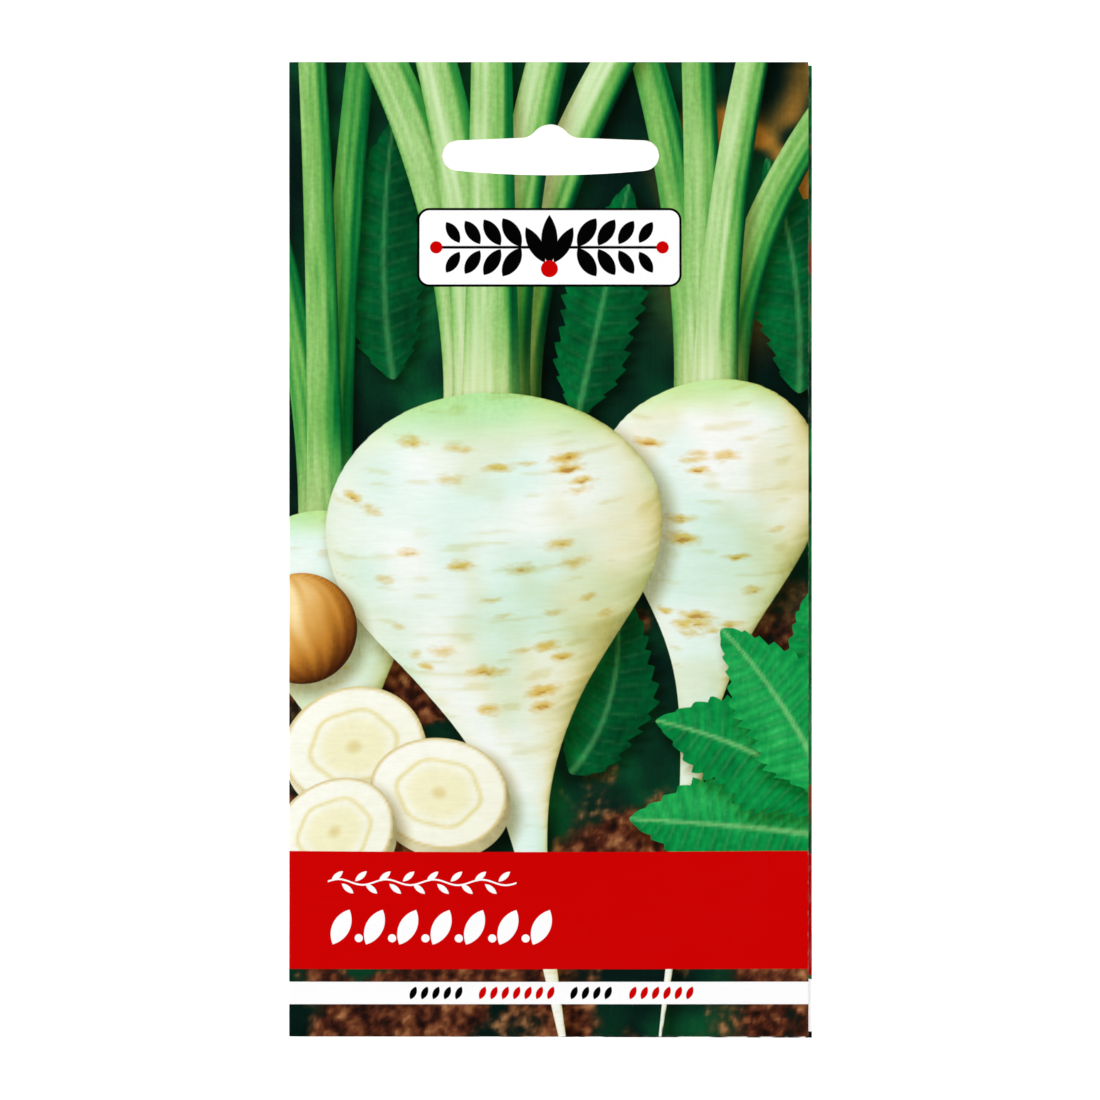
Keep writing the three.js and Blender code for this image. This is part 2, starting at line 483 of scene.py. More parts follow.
@dataclass
class Stalk:
    """A ribbed green leaf stalk along a curve, pale at its foot."""

    path: Curve
    foot: float
    tip: float
    tone: float
    seed: int

    GREEN: ClassVar[Stops] = (
        (0.0, (0, 48, 26)), (0.28, (4, 104, 46)), (0.46, (58, 148, 62)), (0.62, (122, 184, 90)),
        (0.8, (168, 210, 132)), (1.0, (216, 238, 190)),
    )
    PALE: ClassVar[Stops] = (
        (0.0, (40, 84, 30)), (0.35, (118, 158, 76)), (0.7, (196, 218, 148)),
        (1.0, (240, 246, 214)),
    )

    def half_width(self, along: Array) -> Array:
        """Half the width: foot + (tip - foot) * share^0.7."""
        share = np.clip(along / self.path.length, 0, 1)
        return self.foot + (self.tip - self.foot) * share**0.7

    def distance(self, at: Array) -> Array:
        """Signed distance to the stalk's outline.

        Args:
            at: Places in millimetres.

        Returns:
            Millimetres, below 0 inside.
        """
        along, across, _ = self.path.locate(at)
        sides = np.abs(across) - self.half_width(along)
        return np.maximum.reduce([sides, -along - 1, along - self.path.length])

    def colour(self, at: Array) -> Array:
        """Display colours: a rounded, ribbed ribbon in the light.

        Args:
            at: Places in millimetres.

        Returns:
            Colours of 0 to 255.
        """
        along, across, tangent = self.path.locate(at)
        share = np.clip(across / self.half_width(along), -1, 1)
        swell = np.clip(0.92 * share + 0.12 * np.sin(3 * np.pi * share + self.seed), -0.99, 0.99)
        light = lit(-tangent[:, 1] * swell, tangent[:, 0] * swell, np.sqrt(1 - swell**2), wrap=0.3)
        rib = np.sin(across * 5 + 6 * noise(along, across, 14, self.seed + 1))
        streak = wobble(across, along * 0.06, 0.55, self.seed + 2)
        patch = wobble(along, across * 2, 8, self.seed + 3)
        value = light * self.tone + 0.035 * rib + 0.16 * streak + 0.1 * patch
        pale = 0.75 * smooth(14, 0, along)[:, None]
        return ramp(value, self.GREEN) * (1 - pale) + ramp(value, self.PALE) * pale


@dataclass
class Root:
    """A pale root: a rounded shoulder, a bell that narrows to a tail, rings and short scars."""

    path: Curve
    width: float
    shoulder: float
    spread: float
    tail: float
    scars: int
    seed: int

    RING_BOW: ClassVar[float] = 0.16
    SKIN: ClassVar[Stops] = (
        (0.0, (118, 120, 62)), (0.2, (184, 180, 112)), (0.36, (224, 221, 176)),
        (0.5, (234, 237, 212)), (0.64, (234, 242, 227)), (0.8, (245, 249, 242)),
        (1.0, (253, 253, 250)),
    )

    def half_width(self, along: Array) -> Array:
        """Half the width: a quarter ellipse to the shoulder, then a bell plus a tapering tail.

        Args:
            along: Distances along the root.

        Returns:
            Half widths, all above 0.
        """
        rise = np.sqrt(np.clip(1 - ((self.shoulder - along) / self.shoulder) ** 2, 0, 1))
        past = np.clip(along - self.shoulder, 0, None)
        bell = np.exp(-((past / self.spread) ** 2))
        run = np.clip(1 - past / (self.path.length - self.shoulder), 0, 1)
        fall = (self.width - self.tail) * bell + self.tail * run
        return np.maximum(np.where(along < self.shoulder, self.width * rise, fall), 0.001)

    def ringed(self, along: Array, half: Array, facing: Array) -> Array:
        """Distance along a root on which each ring bows towards the tail: a + 0.16 w (1 - facing)."""
        return along + self.RING_BOW * half * (1 - facing)

    def located(self, at: Array) -> tuple[Array, Array, Array, Array]:
        """Finds where places lie on the slightly uneven root.

        Args:
            at: Places in millimetres.

        Returns:
            Distance along, distance across, tangent, and slope of the side.
        """
        along, across, tangent = self.path.locate(at)
        across = across / (1 + 0.07 * wobble(along, np.sign(across) * 7.7, 11, self.seed))
        step = 0.2
        slope = (self.half_width(along + step) - self.half_width(along - step)) / (2 * step)
        return along, across, tangent, slope

    def distance(self, at: Array) -> Array:
        """Signed distance: an ellipse's, k(k - 1) / |grad k|, above the shoulder, and |s| - w below.

        Args:
            at: Places in millimetres.

        Returns:
            Millimetres, below 0 inside.
        """
        along, across, _, slope = self.located(at)
        side = (np.abs(across) - self.half_width(along)) / np.sqrt(1 + np.clip(slope, -3, 3) ** 2)
        down = along - self.shoulder
        scale = np.hypot(across / self.width, down / self.shoulder) + 1e-9
        steep = np.hypot(across / self.width**2, down / self.shoulder**2) + 1e-9
        top = scale * (scale - 1) / steep
        return np.maximum(np.where(along < self.shoulder, top, side), along - self.path.length)

    def colour(self, at: Array) -> Array:
        """Display colours: a turned form in the light, with rings, blotches and fine lines round it.

        Args:
            at: Places in millimetres.

        Returns:
            Colours of 0 to 255.
        """
        along, across, tangent, slope = self.located(at)
        half = self.half_width(along)
        share = np.clip(across / half, -1, 1)
        facing = np.sqrt(1 - share**2)
        slope = np.clip(slope, -4, 4) * np.clip(facing, 0.15, 1)
        nx = -share * tangent[:, 1] - slope * tangent[:, 0]
        ny = share * tangent[:, 0] - slope * tangent[:, 1]
        size = np.sqrt(nx**2 + ny**2 + facing**2) + 1e-9
        light = lit(nx / size, ny / size, facing / size, wrap=0.7)
        ring = self.ringed(along, half, facing)
        value = light + 0.09 * wobble(ring, across * 0.09, 0.8, self.seed + 1)
        value += 0.10 * wobble(ring, across * 0.12, 2.4, self.seed + 2)
        value += 0.2 * (clouds(along, across, 11, self.seed + 3) - 0.5)
        colour = ramp(value, self.SKIN)
        mint = smooth(0.4, 0.75, clouds(along, across, 15, self.seed + 4))
        warm = smooth(0.5, 0.8, clouds(along, across, 9, self.seed + 7))
        colour = stain(stain(colour, mint, (0.1, 0.025, 0.05)), warm, (0.015, 0.035, 0.1))
        colour = stain(colour, smooth(0.4 * self.width, 0, along), (0.17, 0.04, 0.30))
        colour = stain(colour, smooth(0.6, 1.0, np.abs(share)), (0.0, 0.01, 0.04))
        lines = smooth(0.78, 0.95, noise(ring, across * 0.13 + 0.4 * share, 0.85, self.seed + 8))
        return stain(colour, lines, (0.04, 0.06, 0.15))

    def scars_at(self, at: Array) -> Array:
        """Two fields that fall from 1 at each scar's middle: its ochre lens, and the line low in it.

        Args:
            at: Places in millimetres.

        Returns:
            Two numbers per point. A lens's outline is where its field is about 0.5.
        """
        along, across, _, _ = self.located(at)
        half = self.half_width(along)
        ring = self.ringed(along, half, np.sqrt(1 - np.clip(across / half, -1, 1) ** 2))
        rng = np.random.default_rng(self.seed + 9)
        ragged = 0.5 * wobble(across, ring * 2, 0.9, self.seed + 6)
        lift = 0.5 * wobble(across, ring, 1.3, self.seed + 5)
        ochre, line = np.zeros_like(ring), np.zeros_like(ring)
        reach = self.shoulder + 1.3 * self.spread
        for _ in range(self.scars):
            down = rng.uniform(0.14, 0.9) * reach
            side = rng.uniform(-0.85, 0.85)
            size = rng.uniform(0.5, 1.0) ** 0.7
            length = 2.7 * size * max(math.sqrt(1 - side**2), 0.35)
            height = rng.uniform(0.6, 1.05) * size
            off_x = (across - side * float(self.half_width(np.array(down)))) / length
            off_y = (ring - down + lift) / height
            strength = rng.uniform(0.6, 1.0)
            reached = np.hypot(off_x, off_y) + 0.8 * ragged
            ochre = np.maximum(ochre, np.clip(1.25 - 0.65 * reached, 0, 1) * strength)
            reached = np.hypot(off_x / 0.85, (off_y - 0.3 + 0.5 * off_x**2) / 0.8) + 0.5 * ragged
            line = np.maximum(line, np.clip(1.25 - 0.8 * reached, 0, 1) * strength * rng.uniform(0.7, 1.0))
        return np.stack([ochre, line], axis=1)


@dataclass
class Leaf:
    """A toothed leaf with a pale midrib and pleats between its side veins."""

    path: Curve
    width: float
    teeth: int
    tone: float
    seed: int

    BLADE: ClassVar[Stops] = (
        (0.0, (0, 34, 18)), (0.3, (0, 84, 40)), (0.55, (4, 136, 62)), (0.8, (40, 176, 86)),
        (1.0, (142, 222, 142)),
    )
    VEIN: ClassVar[Colour] = (150, 205, 130)

    def outline(self, along: Array, side: Array) -> tuple[Array, Array, Array]:
        """The leaf's width without teeth and with them, and the phase of teeth and veins.

        The plain half width is w * sin(pi * u^0.85)^0.8. The edge climbs along each tooth to its
        point, which leans to the leaf's tip, and falls back over the last fifth of the tooth.

        Args:
            along: Distances along the midrib.
            side: Signed distances from it.

        Returns:
            Half width without teeth, half width with them, and phase.
        """
        share = np.clip(along / self.path.length, 0, 1)
        plain = self.width * np.sin(np.pi * share**0.85) ** 0.8
        phase = share * self.teeth + 0.37 * (side > 0)
        uneven = 0.1 * np.sin(share * 17 + self.seed)
        climb = (phase - np.clip(np.abs(side) / (plain + 0.3), 0, 1.2) + uneven) % 1.0
        point = np.minimum(climb / 0.8, (1 - climb) / 0.2)
        lobes = 0.08 * np.sin(share * self.teeth * 1.15 + self.seed)
        return plain, plain * (0.8 + 0.2 * point + lobes) + 0.05, phase

    def distance(self, at: Array) -> Array:
        """About the signed distance: 0.8 * (|across| - half width), cut off at both ends.

        Args:
            at: Places in millimetres.

        Returns:
            Millimetres, below 0 inside.
        """
        along, across, _ = self.path.locate(at)
        _, half, _ = self.outline(along, across)
        ends = np.maximum(-along, along - self.path.length)
        return np.maximum(0.8 * (np.abs(across) - half), ends)

    def colour(self, at: Array) -> Array:
        """Display colours: two halves that lean from the midrib, pleated and veined.

        Args:
            at: Places in millimetres.

        Returns:
            Colours of 0 to 255.
        """
        along, across, tangent = self.path.locate(at)
        plain, _, phase = self.outline(along, across)
        share = np.clip(across / (plain + 0.3), -1, 1)
        fold = (phase - 0.81 * np.abs(share) ** 0.9) % 1.0
        lean = 0.55 * np.tanh(3 * share) - 0.3 * share
        nx, ny = -tangent[:, 1] * lean, tangent[:, 0] * lean
        light = lit(nx, ny, np.sqrt(np.clip(1 - nx**2 - ny**2, 0.1, 1)), wrap=0.2)
        value = light * self.tone * (0.94 - 0.46 * np.abs(fold - 0.45))
        value += 0.14 * wobble(across, along, 3, self.seed) + 0.1 * wobble(across, along, 0.8, self.seed + 1)
        taper = 0.4 + 0.6 * np.clip(1 - along / self.path.length, 0, 1)
        midrib = 0.7 * smooth(0.9, 0.1, np.abs(across) / taper)
        side_vein = smooth(0.2, 0.0, np.minimum(fold, 1 - fold)) * smooth(1.0, 0.3, np.abs(share))
        vein = np.maximum(midrib, 0.26 * side_vein) * min(1.0, self.tone * 1.2)
        return ramp(value, self.BLADE) * (1 - vein[:, None]) + np.array(self.VEIN) * vein[:, None]


@dataclass
class Slice:
    """A round cut slice of root, tipped towards the viewer so that its lower rim shows."""

    x: float
    y: float
    radius: float
    squash: float
    turn: float
    thick: float
    seed: int

    FLESH: ClassVar[Stops] = (
        (0.6, (206, 202, 160)), (0.8, (236, 236, 208)), (0.95, (250, 250, 236)),
        (1.1, (255, 255, 252)),
    )
    RIM: ClassVar[Stops] = ((0.2, (120, 110, 70)), (0.5, (196, 186, 138)), (0.9, (238, 234, 204)))

    def face(self, at: Array, drop: float) -> tuple[Array, Array, Array]:
        """Finds where places lie on the cut face, sunk by part of the rim.

        Args:
            at: Places in millimetres.
            drop: How far it is sunk.

        Returns:
            Signed distance, share of the radius, and angle.
        """
        off_x = at[0] - self.x - 0.35 * drop
        off_y = at[1] - self.y + drop
        cos, sin = math.cos(self.turn), math.sin(self.turn)
        along = (off_x * cos + off_y * sin) / self.radius
        across = (off_y * cos - off_x * sin) / (self.radius * self.squash)
        angle = np.arctan2(across, along)
        share = np.hypot(along, across) * (1 + 0.012 * np.sin(3 * angle + self.seed)) + 1e-9
        steep = np.hypot(along / self.radius, across / (self.radius * self.squash)) + 1e-9
        return share * (share - 1) / steep, share, angle

    def distance(self, at: Array) -> Array:
        """Signed distance to the cut face and its rim together."""
        drops = (0, self.thick / 2, self.thick)
        return np.minimum.reduce([self.face(at, drop)[0] for drop in drops])

    def colour(self, at: Array) -> Array:
        """Display colours: cream flesh with a growth ring, a core, faint rays and tan skin.

        Args:
            at: Places in millimetres.

        Returns:
            Colours of 0 to 255.
        """
        x, y = at
        top, share, angle = self.face(at, 0)
        grain = wobble(angle * 14, share * 3, 1, self.seed)
        ray = wobble(angle * 9, share * 0.7, 1, self.seed + 1) * smooth(0.1, 0.5, share)
        slant = ((x - self.x) - (y - self.y)) / self.radius
        flesh = ramp(0.93 + 0.03 * grain + 0.05 * ray - 0.03 * slant, self.FLESH)
        ring = np.exp(-(((share - 0.6 - 0.02 * np.sin(6 * angle + self.seed)) / 0.035) ** 2))
        flesh = stain(flesh, ring, (0.06, 0.1, 0.3))
        flesh = stain(flesh, smooth(0.6, 0.35, share), (0.02, 0.035, 0.14))
        flesh = stain(flesh, smooth(0.16, 0.04, share), (0.06, 0.1, 0.22))
        flesh = stain(flesh, smooth(0.93, 0.985, share), (0.12, 0.2, 0.42))
        shade = 0.62 - 0.25 * (x - self.x) / self.radius + 0.1 * wobble(angle * 20, y, 1.5, self.seed + 4)
        on_face = smooth(0.05, -0.05, top)[:, None]
        return flesh * on_face + ramp(shade, self.RIM) * (1 - on_face)


@dataclass
class Bulb:
    """A round golden bulb with meridian lines."""

    x: float
    y: float
    radius: float
    lean: float
    seed: int

    SKIN: ClassVar[Stops] = (
        (0.0, (58, 26, 8)), (0.3, (128, 72, 20)), (0.55, (190, 126, 44)), (0.8, (224, 172, 92)),
        (1.0, (250, 226, 170)),
    )

    def distance(self, at: Array) -> Array:
        """Signed distance to its circle."""
        return np.hypot(at[0] - self.x, at[1] - self.y) - self.radius

    def colour(self, at: Array) -> Array:
        """Display colours: a ball in the light, with lines from pole to pole.

        Args:
            at: Places in millimetres.

        Returns:
            Colours of 0 to 255.
        """
        off_x, off_y = (at[0] - self.x) / self.radius, (at[1] - self.y) / self.radius
        facing = np.sqrt(np.clip(1 - off_x**2 - off_y**2, 0, 1))
        cos, sin = math.cos(self.lean), math.sin(self.lean)
        across, along = off_x * cos + off_y * sin, off_y * cos - off_x * sin
        around = np.arcsin(np.clip(across / np.sqrt(np.clip(1 - along**2, 0.05, 1)), -1, 1))
        lines = np.sin(16 * around + 3 * noise(across * 5, along * 2, 1, self.seed))
        value = lit(off_x, off_y, facing, wrap=0.35) + 0.035 * lines
        return ramp(value + 0.1 * wobble(around * 9, along * 1.5, 1, self.seed + 1), self.SKIN)


Shape = Stalk | Root | Leaf | Slice | Bulb


@dataclass
class Layer:
    """Shapes of the picture that don't cross each other, and how high they stand over what is behind."""

    shapes: list[Shape]
    height: float = 0.8

    SHADOW: ClassVar[float] = 0.62
    FALL: ClassVar[Point] = (1.3, -1.6)

    def distance(self, at: Array) -> Array:
        """Signed distance to the nearest shape."""
        return np.minimum.reduce([shape.distance(at) for shape in self.shapes])

    def colour(self, at: Array) -> Array:
        """Linear colours of the nearest shape.

        Args:
            at: Places in millimetres.

        Returns:
            A linear colour per place.
        """
        nearest = np.argmin([shape.distance(at) for shape in self.shapes], axis=0)
        drawn = np.stack([shape.colour(at) for shape in self.shapes])
        return linear(np.take_along_axis(drawn, nearest[None, :, None], axis=0)[0])

    def scars(self, at: Array) -> Array:
        """The scar fields of the layer's roots, and 0 beside them.

        Args:
            at: Places in millimetres.

        Returns:
            Two numbers per place.
        """
        found = np.zeros((at.shape[1], 2))
        for root in self.shapes:
            if isinstance(root, Root):
                within = root.distance(at) < 0
                found[within] = root.scars_at(at[:, within])
        return found

    def shadow(self, at: Array) -> Array:
        """What is left of the light behind the layer, whose shadow falls to the lower right."""
        thrown = self.distance(at - np.array(self.FALL)[:, None] * self.height)
        return 1 - self.SHADOW * smooth(2.6 * self.height, -1.0, thrown)


@dataclass
class Picture:
    """The packet's printed picture: pale roots, slices, stalks and toothed leaves on dark green."""

    GROUND: ClassVar[Stops] = (
        (0.0, (2, 14, 12)), (0.42, (5, 28, 22)), (0.6, (7, 46, 30)), (0.78, (8, 78, 42)),
        (1.0, (30, 118, 62)),
    )
    SOIL: ClassVar[Stops] = (
        (0.25, (24, 12, 10)), (0.45, (70, 32, 20)), (0.6, (112, 62, 36)), (0.8, (170, 118, 76)),
    )
    WARM: ClassVar[Colour] = (170, 118, 44)
    SHADE: ClassVar[Colour] = (0.75, 0.9, 1.35)

    @staticmethod
    def fan(
        crown: Point, tips: Sequence[Point], foot: float, tip: float, tones: Sequence[float], seed: int
    ) -> list[Stalk]:
        """Stalks that rise from one crown and spread to their tips.

        Args:
            crown: Where the stalks start.
            tips: Where they end.
            foot: Half width there.
            tip: Half width at the tips.
            tones: Brightnesses, taken in turn.
            seed: Picks the first one's streaks.

        Returns:
            The stalks, in the order of the tips.
        """
        x, y = crown
        stalks = []
        for number, (tip_x, tip_y) in enumerate(tips):
            start = (x + 0.13 * (tip_x - x), y - 1.5)
            middle = (x + 0.22 * (tip_x - x), y + 0.5 * (tip_y - y))
            path = Curve(start, middle, (tip_x, tip_y))
            stalks.append(Stalk(path, foot, tip, tones[number % len(tones)], seed + 7 * number))
        return stalks

    def layers(self) -> list[Layer]:
        """The layers from the back to the front.

        Returns:
            Each layer's shapes and height.
        """
        tips = [(12, 84), (22, 86), (33, 84), (44, 70)]
        right = self.fan((24, 27), tips, 3.6, 2.3, (0.72, 0.85, 0.95), 100)
        tips = [(-46, 60), (-37, 84), (-28, 84)]
        left = self.fan((-34, 6), tips, 3.0, 2.0, (0.6, 0.75), 140)
        tips = [(-30, 84), (-20, 84), (-9, 86), (2, 84), (14, 82)]
        middle = self.fan((-9, 25), tips, 4.6, 2.9, (0.9, 1.0, 0.94), 180)
        dim = [
            Leaf(Curve((4, 20), (8, 38), (12, 56)), 6.5, 15, 0.46, 61),
            Leaf(Curve((-24, 26), (-27, 44), (-24, 66)), 7.0, 16, 0.4, 62),
            Leaf(Curve((3, -34), (12, -24), (10, -6)), 7.0, 14, 0.44, 63),
            Leaf(Curve((38, 24), (39, 44), (33, 60)), 7.0, 16, 0.44, 64),
        ]
        big = Root(Curve((-9, 24), (-9, -20), (4, -86)), 26, 21, 26, 4.2, 34, 5)
        rear = Root(Curve((24, 26), (27, 0), (16, -80)), 17.5, 15, 22, 3.2, 22, 21)
        small = Root(Curve((-34, 6), (-36, -20), (-22, -60)), 13.5, 12, 18, 2.4, 12, 43)
        bulb = Bulb(-38, -12, 8.5, 0.3, 4)
        slices = [
            Slice(-30, -30, 11, 0.82, 0.2, 1.6, 1),
            Slice(-17, -37, 10.5, 0.8, -0.15, 1.6, 2),
            Slice(-33, -43, 9.5, 0.82, 0.5, 1.6, 3),
        ]
        leaves = [
            Leaf(Curve((44, -40), (34, -30), (16, -26)), 8.5, 15, 0.85, 1),
            Leaf(Curve((44, -44), (30, -42), (12, -41)), 8.5, 15, 0.95, 2),
            Leaf(Curve((43, -38), (36, -22), (26, -12)), 8.0, 15, 1.0, 3),
            Leaf(Curve((44, -34), (42, -20), (40, -6)), 7.5, 15, 0.8, 4),
        ]
        return [
            Layer(dim, 0.6),
            Layer([right[0], right[3], left[0], left[2]], 0.6),
            Layer([right[1], left[1]], 0.6),
            Layer([right[2], middle[0], middle[4]], 0.7),
            Layer([rear, small, middle[1], middle[3]], 0.9),
            Layer([middle[2]], 0.7),
            Layer([big], 1.0),
            Layer([bulb, slices[0], leaves[3], leaves[1]]),
            Layer([slices[1], leaves[0]]),
            Layer([slices[2], leaves[2]]),
        ]

    def ground(self, at: Array) -> Array:
        """Linear colours behind everything: dark foliage, crumbly soil low down, ochre at the upper right.

        Args:
            at: Places in millimetres.

        Returns:
            A linear colour per place.
        """
        x, y = at
        broad, other = clouds(x, y, 19, 3), clouds(y, x, 16, 8)
        value = 0.6 * broad + 0.4 * clouds(x + 14 * other, y + 10 * broad, 7, 4)
        warped = clouds(x + 14 * broad, y + 14 * other, 11, 12)
        colour = ramp(1.25 * value - 0.12, self.GROUND)
        crumbs = 0.5 * clouds(x, y, 2.2, 15) + 0.5 * clouds(x, y, 0.9, 17)
        earth = smooth(0.45, 0.62, warped + 0.25 * (crumbs - 0.5)) * smooth(10, -20, y)
        colour = colour + (ramp(crumbs, self.SOIL) - colour) * earth[:, None]
        warm = smooth(0.4, 0.6, warped) * smooth(12, 26, x) * smooth(26, 46, y)
        return linear(colour + (np.array(self.WARM) - colour) * warm[:, None])

    def paint(self, at: Array) -> tuple[Array, Array, list[Array]]:
        """Works the picture out at points.

        Args:
            at: Places in millimetres.

        Returns:
            The ground's colours, the scar fields, and for each layer an array of red, green,
            blue and signed distance. Every layer has the shadows of the layers in front of it.
        """
        ground, scars = self.ground(at), np.zeros((at.shape[1], 2))
        painted: list[Array] = []
        for layer in self.layers():
            shadow = layer.shadow(at)[:, None] ** np.array(self.SHADE)
            ground = ground * shadow
            for below in painted:
                below[:, :3] *= shadow
            painted.append(np.column_stack([layer.colour(at), layer.distance(at)]))
            scars = np.where(painted[-1][:, 3:] < 0, layer.scars(at), scars)
        return ground, scars, painted


# ---- the packet's form


def resampled(points: Array, spacing: float) -> Array:
    """Points of a closed outline at even steps of its length, no further apart than spacing.

    Args:
        points: Corners of the outline.
        spacing: Largest step.

    Returns:
        The new corners.
    """
    ring = np.vstack([points, points[:1]])
    walked = np.concatenate([[0], np.cumsum(np.hypot(*np.diff(ring, axis=0).T))])
    stations = np.linspace(0, walked[-1], math.ceil(walked[-1] / spacing) + 1)[:-1]
    return np.stack([np.interp(stations, walked, ring[:, k]) for k in range(2)], axis=1)


def inside(points: Array, outline: Array) -> Array:
    """Which points lie inside an outline, by counting how many of its sides a ray crosses.

    Args:
        points: Points to test.
        outline: Corners of the outline.

    Returns:
        True or false per point.
    """
    ahead = np.roll(outline, -1, axis=0)
    x, y = points[:, :1], points[:, 1:]
    rises = (outline[:, 1] > y) != (ahead[:, 1] > y)
    run = np.where(ahead[:, 1] == outline[:, 1], 1.0, ahead[:, 1] - outline[:, 1])
    crossing = outline[:, 0] + (y - outline[:, 1]) * (ahead[:, 0] - outline[:, 0]) / run
    return (rises & (x < crossing)).sum(axis=1) % 2 == 1


def border(numbers: Array) -> Array:
    """The outermost numbers of a grid, anticlockwise from its first."""
    return np.concatenate([numbers[:-1, 0], numbers[-1, :-1], numbers[:0:-1, -1], numbers[0, :0:-1]])


def grid_places(across: Array, up: Array) -> Array:
    """The places of a grid: every distance across with every height up, heights changing first."""
    return np.stack(np.meshgrid(across, up, indexing="ij"), axis=-1).reshape(-1, 2)


@dataclass
class HangingSlot:
    """The punched slot: a long round-ended opening with a bump in the middle of its upper edge."""

    packet_top: float
    top: float = 9.55
    half_length: float = 16.6
    bump_rise: float = 2.06
    bump_radius: float = 3.2
    fillet_radius: float = 2.6
    end_radius: float = 2.32
    upper_bow: float = 0.38
    lower_bow: float = 0.68
    spacing: float = 0.3
    arc_points: int = 24

    def arc(self, x: float, y: float, radius: float, start: float, end: float) -> Array:
        """Points of an arc, (x + r cos t, y + r sin t), ends included."""
        turn = np.linspace(start, end, self.arc_points)
        return np.stack([x + radius * np.cos(turn), y + radius * np.sin(turn)], axis=1)

    def outline(self) -> Array:
        """The slot's outline, anticlockwise from the right of the bump, in even steps.

        Returns:
            Points in millimetres.
        """
        up = math.pi / 2
        upper_edge = self.packet_top - self.top - self.bump_rise
        reach = self.bump_radius + self.fillet_radius
        bump_turn = math.acos((reach - self.bump_rise) / reach)
        fillet_x = reach * math.sin(bump_turn)
        fillet_y = upper_edge + self.fillet_radius
        bump_y = self.packet_top - self.top - self.bump_radius
        end_x = self.half_length - self.end_radius
        end_y = upper_edge - self.upper_bow - self.end_radius
        bow_radius = (end_x**2 + self.lower_bow**2) / (2 * self.lower_bow)
        bow_turn = math.asin(end_x / bow_radius)
        bow_y = end_y - self.end_radius - self.lower_bow + bow_radius
        parts = [
            self.arc(0, bump_y, self.bump_radius, up - bump_turn, up + bump_turn),
            self.arc(-fillet_x, fillet_y, self.fillet_radius, bump_turn - up, -up),
            self.arc(-end_x, end_y, self.end_radius, up, 3 * up),
            self.arc(0, bow_y, bow_radius, -up - bow_turn, -up + bow_turn),
            self.arc(end_x, end_y, self.end_radius, -up, up),
            self.arc(fillet_x, fillet_y, self.fillet_radius, -up, -up - bump_turn),
        ]
        return resampled(np.vstack(parts), self.spacing)


